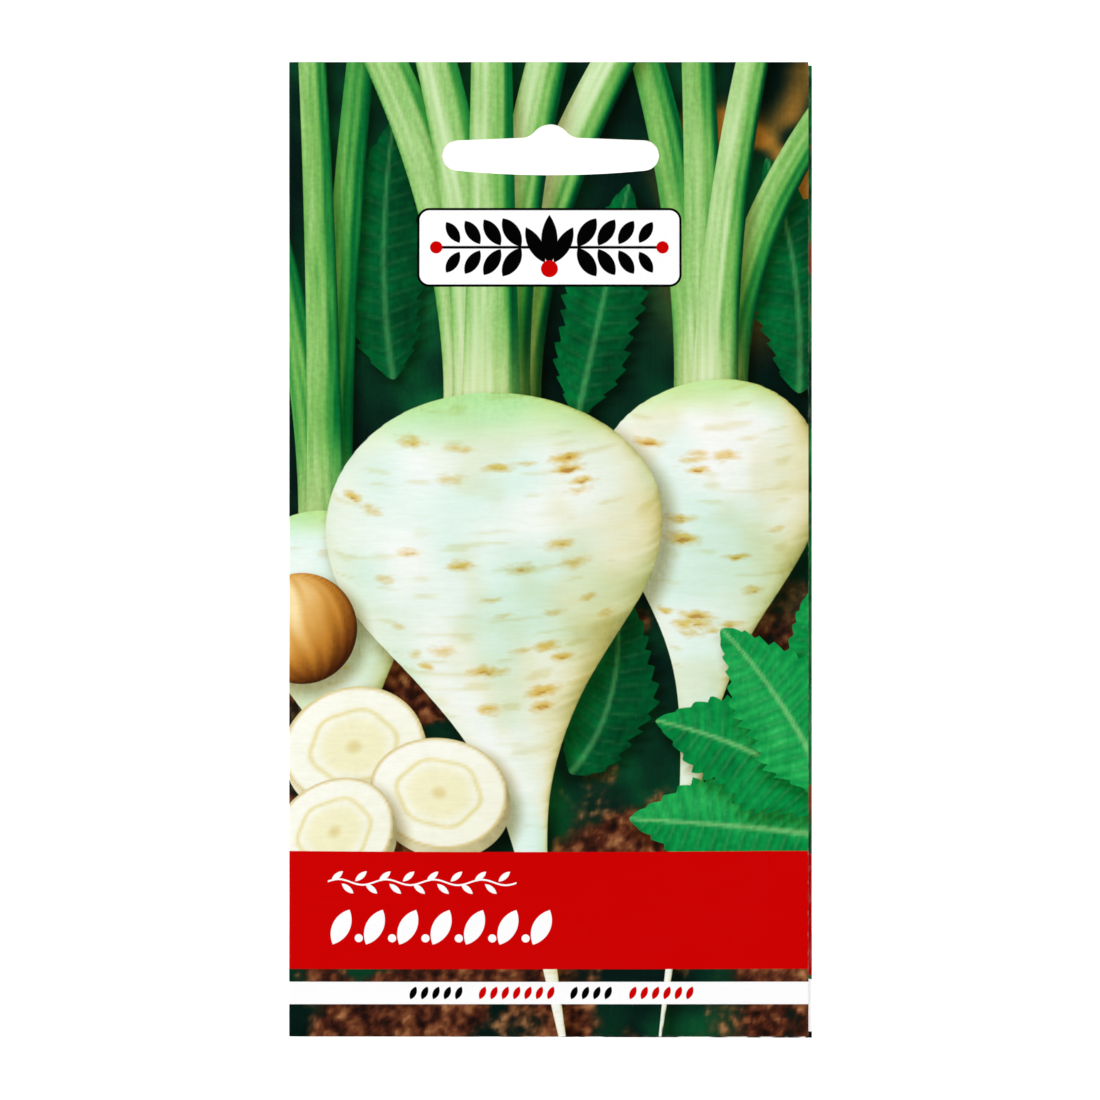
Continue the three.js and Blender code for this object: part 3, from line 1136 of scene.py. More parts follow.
@dataclass
class PacketForm:
    """The sealed packet's sizes and the heights of its two faces."""

    paper: float = 0.15
    glue: float = 0.1
    side_step: float = 0.55
    skew_drop: float = 0.5
    foot_step: float = 0.22
    side_seal: float = 6.0
    bottom_seal: float = 6.5
    header_seal: float = 20.5
    glue_inset: float = 0.6
    front_rise: float = 2.1
    back_drop: float = 0.8
    flat_share: float = 0.6
    fullness: float = 2.3
    sag: float = 0.8
    pucker_depth: float = 0.16
    pucker_pitch: float = 4.2
    pucker_reach: float = 9.0
    crease_depth: float = 0.06
    crease_width: float = 1.5
    wave_depth: float = 0.12
    wave_pitch: float = 24.0
    back_creases: float = 0.5
    front_seed: int = 31
    back_seed: int = 51

    def __post_init__(self) -> None:
        """Works the places out from the sheet's own box."""
        low, high = (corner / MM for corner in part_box("packet_sheet"))
        self.fold_radius = self.glue / 2 + self.paper
        self.quarter = self.fold_radius * math.pi / 2
        self.fold_x = low.x + self.fold_radius
        self.front_edge = high.x - self.side_step
        self.back_edge = high.x
        self.top = high.y
        self.bottom = low.y + self.foot_step
        self.seal_plane = self.back_drop + self.paper + self.glue / 2
        self.pocket_left = self.fold_x
        self.pocket_right = self.front_edge - self.glue_inset - self.side_seal
        self.pocket_bottom = low.y + self.skew_drop + self.glue_inset + self.bottom_seal
        self.pocket_top = self.top - self.glue_inset - self.header_seal

    def pillow(self, x: Array, y: Array) -> Array:
        """How full the pocket is: (1 - |2u - 1|^f) (1 - |2v^s - 1|^f) over its shares u and v.

        Args:
            x: Millimetres across.
            y: Millimetres up.

        Returns:
            Fullness from 0 to 1.
        """
        across = (x - self.pocket_left) / (self.pocket_right - self.pocket_left)
        up = (y - self.pocket_bottom) / (self.pocket_top - self.pocket_bottom)
        across, up = np.clip(across, 0, 1), np.clip(up, 0, 1) ** self.sag
        return (1 - abs(2 * across - 1) ** self.fullness) * (1 - abs(2 * up - 1) ** self.fullness)

    def drop(self, x: Array, up: Array) -> Array:
        """How far the askew fold lowers the back ply: a step that grows up the packet, times x's share.

        Args:
            x: Places across, in millimetres.
            up: Heights up the sheet.

        Returns:
            Millimetres.
        """
        height = self.top - self.bottom
        step = self.foot_step + (self.skew_drop - self.foot_step) * (up - self.bottom) / height
        return step * (x - self.fold_x) / (self.back_edge - self.fold_x)

    def creases(self, x: Array, y: Array, seed: int) -> Array:
        """Low relief where the filled pocket gathers the paper.

        Puckers are noise that is stretched square to each side, fades away from it and is 0 on
        it. A crease is a ridge exp(-(d / width)^2) along each corner's diagonal. A broad wave is
        soft noise times the pillow.

        Args:
            x: Places across the packet.
            y: Places up the packet.
            seed: Picks the noise.

        Returns:
            Heights to add to a face.
        """
        side = np.minimum(x - self.pocket_left, self.pocket_right - x)
        end = np.minimum(y - self.pocket_bottom, self.pocket_top - y)
        room = smooth(0, 3, side) * smooth(0, 3, end)
        reach, pitch = self.pucker_reach, self.pucker_pitch
        at_sides = np.exp(-np.maximum(side, 0) / reach) * wobble(y, x * 0.16, pitch, seed)
        at_ends = np.exp(-np.maximum(end, 0) / reach) * wobble(x, y * 0.16, pitch, seed + 1)
        corner = np.hypot(side, end)
        ridge = np.exp(-(((side - end * 0.8) / self.crease_width) ** 2))
        ridge = ridge * smooth(2, 7, corner) * smooth(18, 7, corner)
        wave = wobble(x, y, self.wave_pitch, seed + 2) * self.pillow(x, y)
        puckers = self.pucker_depth * (at_sides + at_ends)
        return room * (puckers + self.crease_depth * ridge + self.wave_depth * wave)

    def front_face(self, x: Array, y: Array) -> Array:
        """Height of the printed front: the sealed height + rise * pillow + creases."""
        sealed = self.seal_plane + self.glue / 2 + self.paper
        return sealed + self.front_rise * self.pillow(x, y) + self.creases(x, y, self.front_seed)

    def back_face(self, x: Array, y: Array) -> Array:
        """Height of the back's outer face: drop * (1 - pillow / flat share), and at least 0."""
        free = 1 - np.minimum(1, self.pillow(x, y) / self.flat_share)
        return free * (self.back_drop + self.back_creases * self.creases(x, y, self.back_seed))


class Ply(Enum):
    """The sheet's two plies, with the way their outer faces look along z."""

    FRONT = 1
    BACK = -1


@dataclass
class SheetPanel:
    """One ply of the folded sheet, from the crown of the fold to its cut side edge.

    Its places are the distance across the sheet from the fold's crown and the height up it. The
    outer face is a fine grid, the inner face is coarse, and walls join them at the cuts.
    """

    form: PacketForm
    slot: HangingSlot
    cell: float
    ply: Ply
    coarse: float = 2.6
    margin: float = 1.3
    fold_steps: int = 3
    least_gap: float = 0.45
    inner_inset: float = 1.2
    slot_clearance: float = 1.0
    outer_strip: Span = (0.004, 0.94)
    inner_strip: Span = (0.946, 0.97)
    edge_strip: Span = (0.974, 0.983)
    slot_strip: Span = (0.988, 0.997)
    map_foot: float = 0.005
    map_run: float = 0.99

    def width(self) -> float:
        """Distance across the sheet from the fold's crown to the cut edge."""
        edge_x = self.form.front_edge if self.ply is Ply.FRONT else self.form.back_edge
        return self.form.quarter + edge_x - self.form.fold_x

    def place(self, flat: Array, depth: float) -> Array:
        """Where places of the flat sheet lie on the packet.

        Up to the quarter turn they follow a circle, (r cos t, r sin t), round the fold, and past
        it the ply's face.

        Args:
            flat: Distance across and height up, per place.
            depth: How far below the outer face, through the paper.

        Returns:
            Points in millimetres.
        """
        form, sign = self.form, self.ply.value
        across, up = flat.T
        turn = np.pi - sign * np.clip(across / form.fold_radius, 0, np.pi / 2)
        radius = form.fold_radius - depth
        folded = across < form.quarter
        flat_x = form.fold_x + across - form.quarter
        x = np.where(folded, form.fold_x + radius * np.cos(turn), flat_x)
        if self.ply is Ply.FRONT:
            y, face = up, form.front_face(x, up)
        else:
            y, face = up - form.drop(np.maximum(x, form.fold_x), up), form.back_face(x, up)
        z = np.where(folded, form.seal_plane + radius * np.sin(turn), face - sign * depth)
        return np.stack([x, y, z], axis=1)

    def slot_ring(self) -> Array:
        """The slot's outline on the flat sheet.

        Returns:
            Distance across and height up, per corner.
        """
        ring = self.slot.outline()
        across = ring[:, 0] - self.form.fold_x + self.form.quarter
        up = ring[:, 1] if self.ply is Ply.FRONT else ring[:, 1] + self.form.drop(*ring.T)
        return np.stack([across, up], axis=1)

    @staticmethod
    def triangles(points: Array, rings: list[Array], hole: Array) -> Array:
        """Triangulates points and keeps what lies outside a hole.

        Args:
            points: Places on the flat sheet.
            rings: Closed rings of point numbers, whose sides become edges.
            hole: Outline of the hole.

        Returns:
            Point numbers, three per triangle, anticlockwise.
        """
        edges = [pair for ring in rings for pair in zip(ring.tolist(), np.roll(ring, -1).tolist())]
        flat = [Vector(point) for point in points.tolist()]
        made = delaunay_2d_cdt(flat, edges, [], 0, 1e-6)
        number = np.array([sources[0] if sources else -1 for sources in made[3]])
        corners = number[np.array([face for face in made[2] if len(face) == 3])]
        corners = corners[(corners >= 0).all(axis=1)]
        return corners[~inside(points[corners].mean(axis=1), hole)]

    def mesh(self, name: str) -> tuple[Piece, int]:
        """Builds the ply as a closed mesh with its own UV map.

        Args:
            name: Name of the piece.

        Returns:
            The piece, and how many of its first vertices are on the outer face.
        """
        form, ring = self.form, self.slot_ring()
        lengths = (self.width() - form.quarter, form.top - form.bottom)
        counts = [math.ceil(length / self.cell) for length in lengths]
        across = np.linspace(form.quarter, self.width(), counts[0] + 1)
        across = np.concatenate([np.linspace(0, form.quarter, self.fold_steps + 1)[:-1], across])
        up = np.linspace(form.bottom, form.top, counts[1] + 1)
        columns, rows = len(across), len(up)
        grid = grid_places(across, up)
        number = np.arange(columns * rows).reshape(columns, rows)

        low, high = ring.min(axis=0) - self.margin, ring.max(axis=0) + self.margin
        left, right = np.searchsorted(across, [low[0], high[0]])
        bottom, top = np.searchsorted(up, [low[1], high[1]])
        block = number[left : right + 1, bottom : top + 1]
        quads = np.stack([number[:-1, :-1], number[1:, :-1], number[1:, 1:], number[:-1, 1:]], axis=-1)
        plain = np.ones(quads.shape[:2], bool)
        plain[left:right, bottom:top] = False
        quads = quads[plain]

        rim = border(block)
        middle = block[1:-1, 1:-1].ravel()
        gap = np.linalg.norm(grid[middle][:, None] - ring, axis=2).min(axis=1)
        middle = middle[(gap > self.least_gap * self.cell) & ~inside(grid[middle], ring)]
        slot_number = len(grid) + np.arange(len(ring))
        outer = np.vstack([grid, ring])
        local = np.concatenate([rim, middle, slot_number])
        loops = [np.arange(len(rim)), len(local) - len(ring) + np.arange(len(ring))]
        patch = local[self.triangles(outer[local], loops, ring)]

        edge_ring = border(number)
        used, place = np.unique(np.concatenate([quads.ravel(), patch.ravel()]), return_inverse=True)
        renumber = np.zeros(len(outer), int)
        renumber[used] = np.arange(len(used))
        quads, patch = place[: quads.size].reshape(-1, 4), place[quads.size :].reshape(-1, 3)
        outer, edge_ring, slot_number = outer[used], renumber[edge_ring], renumber[slot_number]
        return self.closed(name, outer, quads, patch, edge_ring, slot_number)

    def closed(
        self, name: str, outer: Array, quads: Array, patch: Array, edge_ring: Array, slot_ring: Array
    ) -> tuple[Piece, int]:
        """Adds the inner face and the walls to an outer face.

        Args:
            name: Name of the piece.
            outer: Places of the outer face on the flat sheet.
            quads: Its four-sided faces.
            patch: Its triangles.
            edge_ring: Point numbers round the sheet, anticlockwise.
            slot_ring: Point numbers round the slot, anticlockwise.

        Returns:
            The piece, and how many of its first vertices are on the outer face.
        """
        form, paper = self.form, self.form.paper
        hole = outer[slot_ring]
        across = np.arange(form.quarter + self.inner_inset, self.width() - 1, self.coarse)
        up = np.arange(form.bottom + self.inner_inset, form.top - 1, self.coarse)
        loose = grid_places(across, up)
        gap = np.linalg.norm(loose[:, None] - hole, axis=2).min(axis=1)
        loose = loose[(gap > self.slot_clearance) & ~inside(loose, hole)]
        inner = np.vstack([outer[edge_ring], hole, loose])
        rings = [np.arange(len(edge_ring)), len(edge_ring) + np.arange(len(slot_ring))]
        under = self.triangles(inner, rings, hole)[:, ::-1]

        first = len(outer)
        walls, wall_maps = [], []
        strips = (
            (edge_ring, rings[0], self.edge_strip),
            (slot_ring[::-1], rings[1][::-1], self.slot_strip),
        )
        for upper, lower, (near, far) in strips:
            lower = lower + first
            walls.append(np.stack([upper, lower, np.roll(lower, -1), np.roll(upper, -1)], axis=1))
            step = self.map_run * np.arange(len(upper)) / len(upper)
            ahead = step + self.map_run / len(upper)
            sides = [(near, step), (far, step), (far, ahead), (near, ahead)]
            corners = [np.stack(np.broadcast_arrays(u, v), axis=1) for u, v in sides]
            wall_maps.append(np.stack(corners, axis=1))
        outer_map = self.mapped(outer, *self.outer_strip)
        inner_map = self.mapped(inner, *self.inner_strip)
        groups = [quads, patch, under + first, *walls]
        maps = [outer_map[quads], outer_map[patch], inner_map[under], *wall_maps]
        if self.ply is Ply.BACK:
            groups = [group[:, ::-1] for group in groups]
            maps = [part[:, ::-1] for part in maps]
        cuts = np.zeros(first + len(inner), int)
        for number, ring in enumerate((edge_ring, slot_ring, rings[0] + first, rings[1] + first), 1):
            cuts[ring] = number
        points = np.vstack([self.place(outer, 0.0), self.place(inner, paper)])
        faces = [face for group in groups for face in group.tolist()]
        finish = np.repeat([0, 0, 1, 1, 1], [len(group) for group in groups])
        corner_map = np.concatenate([part.reshape(-1, 2) for part in maps])
        return new_piece(name, points, faces, finish, corner_map, cuts), first

    def mapped(self, flat: Array, left: float, right: float) -> Array:
        """UV places of the flat sheet in an upright strip of the map.

        Args:
            flat: Distance across and height up, per place.
            left: The strip's left side.
            right: Its right side.

        Returns:
            The places' u and v.
        """
        share = (flat - (0, self.form.bottom)) / (self.width(), self.form.top - self.form.bottom)
        return (left, self.map_foot) + (right - left, self.map_run) * share


def new_piece(
    name: str,
    points: Array,
    faces: list[list[int]],
    finish: Array | None = None,
    corner_map: Array | None = None,
    cuts: Array | None = None,
) -> Piece:
    """Makes a mesh object in the scene.

    Args:
        name: Name of the piece.
        points: Vertices in millimetres.
        faces: Vertex numbers of each face.
        finish: Material number of each face.
        corner_map: UV place of each face corner.
        cuts: Number of the cut's ring that each vertex is on, or 0.

    Returns:
        The object, smooth shaded, and sharp along the cuts.
    """
    mesh = bpy.data.meshes.new(name)
    mesh.from_pydata((points * MM).tolist(), [], faces)
    mesh.polygons.foreach_set("use_smooth", np.ones(len(faces), bool))
    if finish is not None:
        mesh.polygons.foreach_set("material_index", finish.astype(np.int32))
    if corner_map is not None:
        layer = mesh.uv_layers.new(name="OFBake")
        layer.uv.foreach_set("vector", corner_map.astype(np.float32).ravel())
    mesh.update()
    if cuts is not None:
        ends = np.empty(2 * len(mesh.edges), np.int32)
        mesh.edges.foreach_get("vertices", ends)
        near, far = cuts[ends].reshape(-1, 2).T
        mesh.edges.foreach_set("use_edge_sharp", (near == far) & (near > 0))
    piece = bpy.data.objects.new(name, mesh)
    bpy.context.scene.collection.objects.link(piece)
    return piece


def add_colours(piece: Piece, name: str, values: Array) -> None:
    """Stores four numbers per vertex, and zeros for the vertices past the end of the values.

    Args:
        piece: The mesh object.
        name: The attribute's name.
        values: Up to four numbers per vertex.
    """
    every = np.zeros((len(piece.data.vertices), 4), np.float32)
    every[: len(values), : values.shape[1]] = values
    layer = piece.data.attributes.new(name, "FLOAT_COLOR", "POINT")
    layer.data.foreach_set("color", every.ravel())


def dress(piece: Piece, node: str, slot: str, *materials: Material) -> None:
    """Gives a piece its materials and its body, and hides the CAD node it stands for.

    Args:
        piece: The piece.
        node: The CAD node.
        slot: Not used.
        materials: One per material number.
    """
    for material in materials:
        piece.data.materials.append(material)
    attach(piece, "root")
    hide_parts(node)


# ---- finishes


class Ink(Enum):
    """Printing inks and papers, as linear colours."""

    RED = ink(205, 0, 0)
    BLACK = ink(1, 1, 1)
    WHITE = ink(255, 255, 255)
    PAPER = ink(250, 249, 245)
    FIBRE = ink(236, 233, 224)
    CREAM = ink(246, 243, 230)
    GREEN = ink(22, 96, 52)
    LEAF = ink(96, 158, 74)
    OCHRE = ink(214, 164, 84)
    GREY = ink(120, 120, 112)
    EARTH = ink(150, 108, 66)
    DARK_GREEN = ink(6, 50, 28)
    MID_GREEN = ink(24, 116, 56)
    BROWN = ink(120, 62, 36)
    DARK_RED = ink(168, 4, 4)


@dataclass(frozen=True)
class PaperCore:
    """Bare paper: the cut edges and the inside of the sheet."""

    name: str = "paper core"
    fibre: float = 0.35
    fibre_depth: float = 0.012
    mottle: float = 6.0

    def material(self) -> Material:
        """White paper with fibres, a little mottled.

        Returns:
            The material.
        """
        shader = Shader(self.name)
        fibres = shader.noise(self.fibre, (3, 1, 1), 4) * 0.5 + shader.noise(self.fibre, (1, 3, 1), 4) * 0.5
        mottle = shader.noise(self.mottle, detail=3)
        return shader.finish(
            Base_Color=shader.mix(mottle * 0.5 + fibres * 0.4, Ink.FIBRE, Ink.PAPER),
            Roughness=0.8 + fibres * 0.15,
            Normal=shader.bump(fibres, self.fibre_depth),
        )


@dataclass(frozen=True)
class ShadedPrintLip(PaperCore):
    """Bare paper whose edge past the front ply is painted with darkened print colours: painted shade,
    standing for the front's print seen in shadow.
    """

    name: str = "paper core with painted shaded print"
    lip_x: float = 39.0
    foot_y: float = -74.2
    band: Span = (-65.0, -46.4)
    strip: Span = (-73.6, -65.6)
    gloss: float = 0.05
    worn: float = 0.08

    def material(self) -> Material:
        """Paper, with painted shaded print by height on the lip (dark foliage, dark red, white or black), and
        dark dashes of it along the foot.

        Returns:
            The material.
        """
        shader = Shader(self.name)
        x, y, _ = shader.places()
        wavy = y + (shader.noise(1.2, detail=3) - 0.5) * 0.6
        fibres = shader.noise(self.fibre, (3, 1, 1), 4)
        # painted shade: the lip's colours are the front's print darkened, as if in shadow
        printed = shader.overprinted(
            Ink.DARK_GREEN,
            (smooth_value(shader.noise(7, detail=3), 0.42, 0.62), Ink.MID_GREEN),
            (smooth_value(shader.noise(11, detail=2), 0.6, 0.64), Ink.BROWN),
            (edge(y - self.strip[0]), Ink.BLACK),
            (between(wavy, *self.band), Ink.DARK_RED),
            (between(wavy, *self.strip), Ink.WHITE),
            (smooth_value(shader.noise(0.5, (1, 4, 1), 3), 0.5, 0.8) * self.worn, Ink.PAPER),
        )
        dashes = edge(y - self.foot_y) * smooth_value(shader.noise(5, detail=3), 0.46, 0.52)
        on_lip = edge(self.lip_x - x).at_least(dashes)
        return shader.finish(
            Base_Color=shader.mix(on_lip, shader.mix(fibres * 0.6, Ink.FIBRE, Ink.PAPER), printed),
            Specular_IOR_Level=self.gloss,
            Roughness=0.55 + fibres * 0.3,
            Normal=shader.bump(fibres, self.fibre_depth),
        )


@dataclass(frozen=True)
class Coated:
    """Coated paper under print: a soft gloss, fine grain and light rubbing."""

    roughness: float = 0.32
    gloss: float = 0.05
    grain: float = 0.16
    grain_depth: float = 0.004
    mottle: float = 9.0
    rubbed: float = 0.075

    def surface(self, shader: Shader, colour: Socket, wear: Value) -> Material:
        """Finishes a printed surface.

        Args:
            shader: The surface's shader.
            colour: Its print.
            wear: Where the print is lightened to the paper, from 0 to 1: wear, and on the front's cut edges
                also a painted highlight.

        Returns:
            The material.
        """
        grain = shader.noise(self.grain, detail=2)
        mottle = shader.noise(self.mottle, detail=3)
        rubbing = smooth_value(shader.noise(2.2, (3, 1, 1), 4), 0.52, 0.75)
        colour = shader.tinted(colour, 0.927 + grain * 0.036 + mottle * 0.02)
        return shader.finish(
            Base_Color=shader.mix(wear, colour, Ink.PAPER),
            Roughness=self.roughness + (mottle - 0.5) * 0.12 + rubbing * self.rubbed + wear * 0.3,
            Specular_IOR_Level=self.gloss,
            Normal=shader.bump(grain * 0.7 + mottle * 0.3, self.grain_depth),
        )


@dataclass(frozen=True)
class FrontPrint(Coated):
    """The front's print: the picture, a red band, a white strip and a white plate."""

    band: Span = (-64.07, -46.03)
    strip: Span = (-69.47, -66.03)
    plate_middle: Point = (-0.17, 46.26)
    plate_half: Point = (20.22, 6.06)
    plate_radius: float = 1.9
    plate_line: float = 0.37
    soft: float = 0.13
    sprig_y: float = -50.7
    sprig_ends: Span = (-34.0, -5.2)
    sprig_pitch: float = 3.65
    sprig_leaf: Oval = Oval(2.3, 0.85, 0.7)
    low_sprig_leaf: Oval = Oval(2.3, 0.85, -0.7)
    row_y: float = -57.6
    row_pitch: float = 5.1
    row_leaf: Oval = Oval(5.9, 2.7, 1.12)
    row_dot: float = 0.62
    seed_y: float = -67.75
    seed_pitch: float = 1.74
    strip_seed: Oval = Oval(2.15, 0.98, 1.15)
    black_seeds: Groups = ((-21.0, 5), (3.6, 4))
    red_seeds: Groups = ((-10.4, 7), (12.6, 6))
    spray_x: float = 5.8
    spray_pitch: float = 3.0
    spray_leaf: Oval = Oval(5.2, 2.35, 1.0)
    spray_stem: float = 16.6
    crown_leaf: Oval = Oval(7.8, 2.5, math.pi / 2)
    crown_side: Oval = Oval(6.2, 2.2, 1.08)
    berry: float = 0.95
    middle_berry: float = 1.3
    worn_and_lit_rim: float = 0.07
    worn: float = 0.16

    OCHRE_TINT: ClassVar[Colour] = (0.86, 0.58, 0.12)
    BROWN_TINT: ClassVar[Colour] = (0.58, 0.3, 0.16)

    def streaked(self, shader: Shader, colour: Socket) -> Socket:
        """Fine streaks: across the picture where it is pale and red is high, and up it elsewhere.

        Args:
            shader: The front's shader.
            colour: The picture.

        Returns:
            The streaked picture.
        """
        pale = smooth_value(shader.channels(colour)[0], 0.3, 0.6)
        rings = shader.noise(0.42, (7, 1, 1), 4) - 0.5
        fibres = shader.noise(0.36, (1, 9, 1), 4) - 0.5
        mottle = shader.noise(0.7, detail=4) - 0.5
        on_pale, on_dark = rings * 0.11 + mottle * 0.05, fibres * 0.4 + mottle * 0.5
        return shader.tinted(colour, 1 + pale * on_pale + (1 - pale) * on_dark)

    def scarred(self, shader: Shader, colour: Socket) -> Socket:
        """Ochre scars with ragged outlines and a brown line, where their stored fields are high.

        Args:
            shader: The front's shader.
            colour: The picture.

        Returns:
            The scarred picture.
        """
        ochre, line, _ = shader.channels(shader.attribute("scars").outputs["Color"])
        ragged = shader.noise(0.5, (2.4, 1, 1), 4) - 0.5
        lens = smooth_value(ochre + ragged * 0.6, 0.3, 0.85) * 0.92
        crack = smooth_value(line + ragged * 0.5, 0.6, 0.82) * 0.7
        return shader.stained(crack, shader.stained(lens, colour, self.OCHRE_TINT), self.BROWN_TINT)

    def sprig_row(self, x: Value, y: Value) -> Value:
        """A thin waving stem with small leaves on both sides, along the top of the band.

        Args:
            x: Millimetres across.
            y: Millimetres up.

        Returns:
            How much of a place it covers.
        """
        phase = (x + 34.2) * (math.pi / self.sprig_pitch)
        stem = abs(y - self.sprig_y - phase.sine() * 0.42) - 0.13
        upper_x, lower_x = repeated(x, -32.6, self.sprig_pitch, 8), repeated(x, -31.0, self.sprig_pitch, 7)
        upper = self.sprig_leaf.distance(upper_x, y - (self.sprig_y + 0.9))
        lower = self.low_sprig_leaf.distance(lower_x, y - (self.sprig_y - 1.0))
        return (edge(stem) * between(x, *self.sprig_ends)).at_least(edge(upper.at_most(lower)))

    def leaf_row(self, x: Value, y: Value) -> Value:
        """A bold row of leaning leaves, with a seed between each two.

        Args:
            x: Millimetres across.
            y: Millimetres up.

        Returns:
            How much of a place it covers.
        """
        leaves = self.row_leaf.distance(repeated(x, -32.0, self.row_pitch, 7), y - self.row_y)
        dots = repeated(x, -29.3, self.row_pitch, 6).hypot(y - (self.row_y - 1.7)) - self.row_dot
        return edge(leaves.at_most(dots))

    def seed_row(self, x: Value, y: Value, groups: Groups) -> Value:
        """Leaning seeds on the white strip, in groups that start at some places.

        Args:
            x: Millimetres across.
            y: Millimetres up.
            groups: First place and number of seeds, per group.

        Returns:
            How much of a place it covers.
        """
        nearest: Value | None = None
        for start, count in groups:
            shape = self.strip_seed.distance(repeated(x, start, self.seed_pitch, count), y - self.seed_y)
            nearest = shape if nearest is None else nearest.at_most(shape)
        return edge(nearest)

    def spray(self, x: Value, y: Value) -> tuple[Value, Value]:
        """The plate's ornament: black leaves on a stem, and red berries.

        Args:
            x: Millimetres across.
            y: Millimetres up.

        Returns:
            How much the black covers, and how much the red.
        """
        off_x, off_y = abs(x - self.plate_middle[0]), y - self.plate_middle[1]
        taper = 1 - (off_x - self.spray_x) * 0.03
        station = repeated(off_x, self.spray_x, self.spray_pitch, 4)
        leaves = self.spray_leaf.distance(station / taper, (abs(off_y) - 2.35) / taper)
        stem = abs(off_y).at_least(off_x - self.spray_stem) - 0.21
        upright = self.crown_leaf.distance(off_x, off_y - 1.1)
        crown = self.crown_side.distance(off_x - 2.15, off_y - 0.35).at_most(upright)
        berries = (off_x - (self.spray_stem + 0.7)).hypot(off_y) - self.berry
        middle = off_x.hypot(off_y + 3.3) - self.middle_berry
        return edge(leaves.at_most(stem).at_most(crown)), edge(berries.at_most(middle))

    def material(self, layers: int, edge_x: float, bottom: float, top: float) -> Material:
        """Builds the front's material.

        Args:
            layers: How many layers the picture has.
            edge_x: The front's cut side edge.
            bottom: Its bottom edge.
            top: Its top edge.

        Returns:
            The material.
        """
        shader = Shader("front print")
        x, y, _ = shader.places()
        colour = shader.attribute("ground").outputs["Color"]
        for number in range(layers):
            layer = shader.attribute(f"picture_{number}")
            distance = Value(shader, layer.outputs["Alpha"])
            colour = shader.mix(edge(distance, self.soft), colour, layer.outputs["Color"])
        colour = self.scarred(shader, self.streaked(shader, colour))
        plate = rounded_box(x, y, self.plate_middle, self.plate_half, self.plate_radius)
        black, red = self.spray(x, y)
        colour = shader.overprinted(
            colour,
            (between(y, *self.band), Ink.RED),
            (self.sprig_row(x, y).at_least(self.leaf_row(x, y)), Ink.WHITE),
            (between(y, *self.strip), Ink.WHITE),
            (self.seed_row(x, y, self.black_seeds), Ink.BLACK),
            (self.seed_row(x, y, self.red_seeds), Ink.RED),
            (edge(plate), Ink.BLACK),
            (edge(plate + self.plate_line), Ink.WHITE),
            (black, Ink.BLACK),
            (red, Ink.RED),
        )
        # along the cut edges the print is lightened towards paper: edge wear and a painted highlight together
        to_edge = (edge_x - x).at_most(y - bottom).at_most(top - y)
        chipped = smooth_value(shader.noise(0.9, detail=4), 0.45, 0.7)
        wear = (self.worn_and_lit_rim - to_edge + (chipped - 0.5) * 0.08) * 16
        return self.surface(shader, colour, wear.clamp() * self.worn)


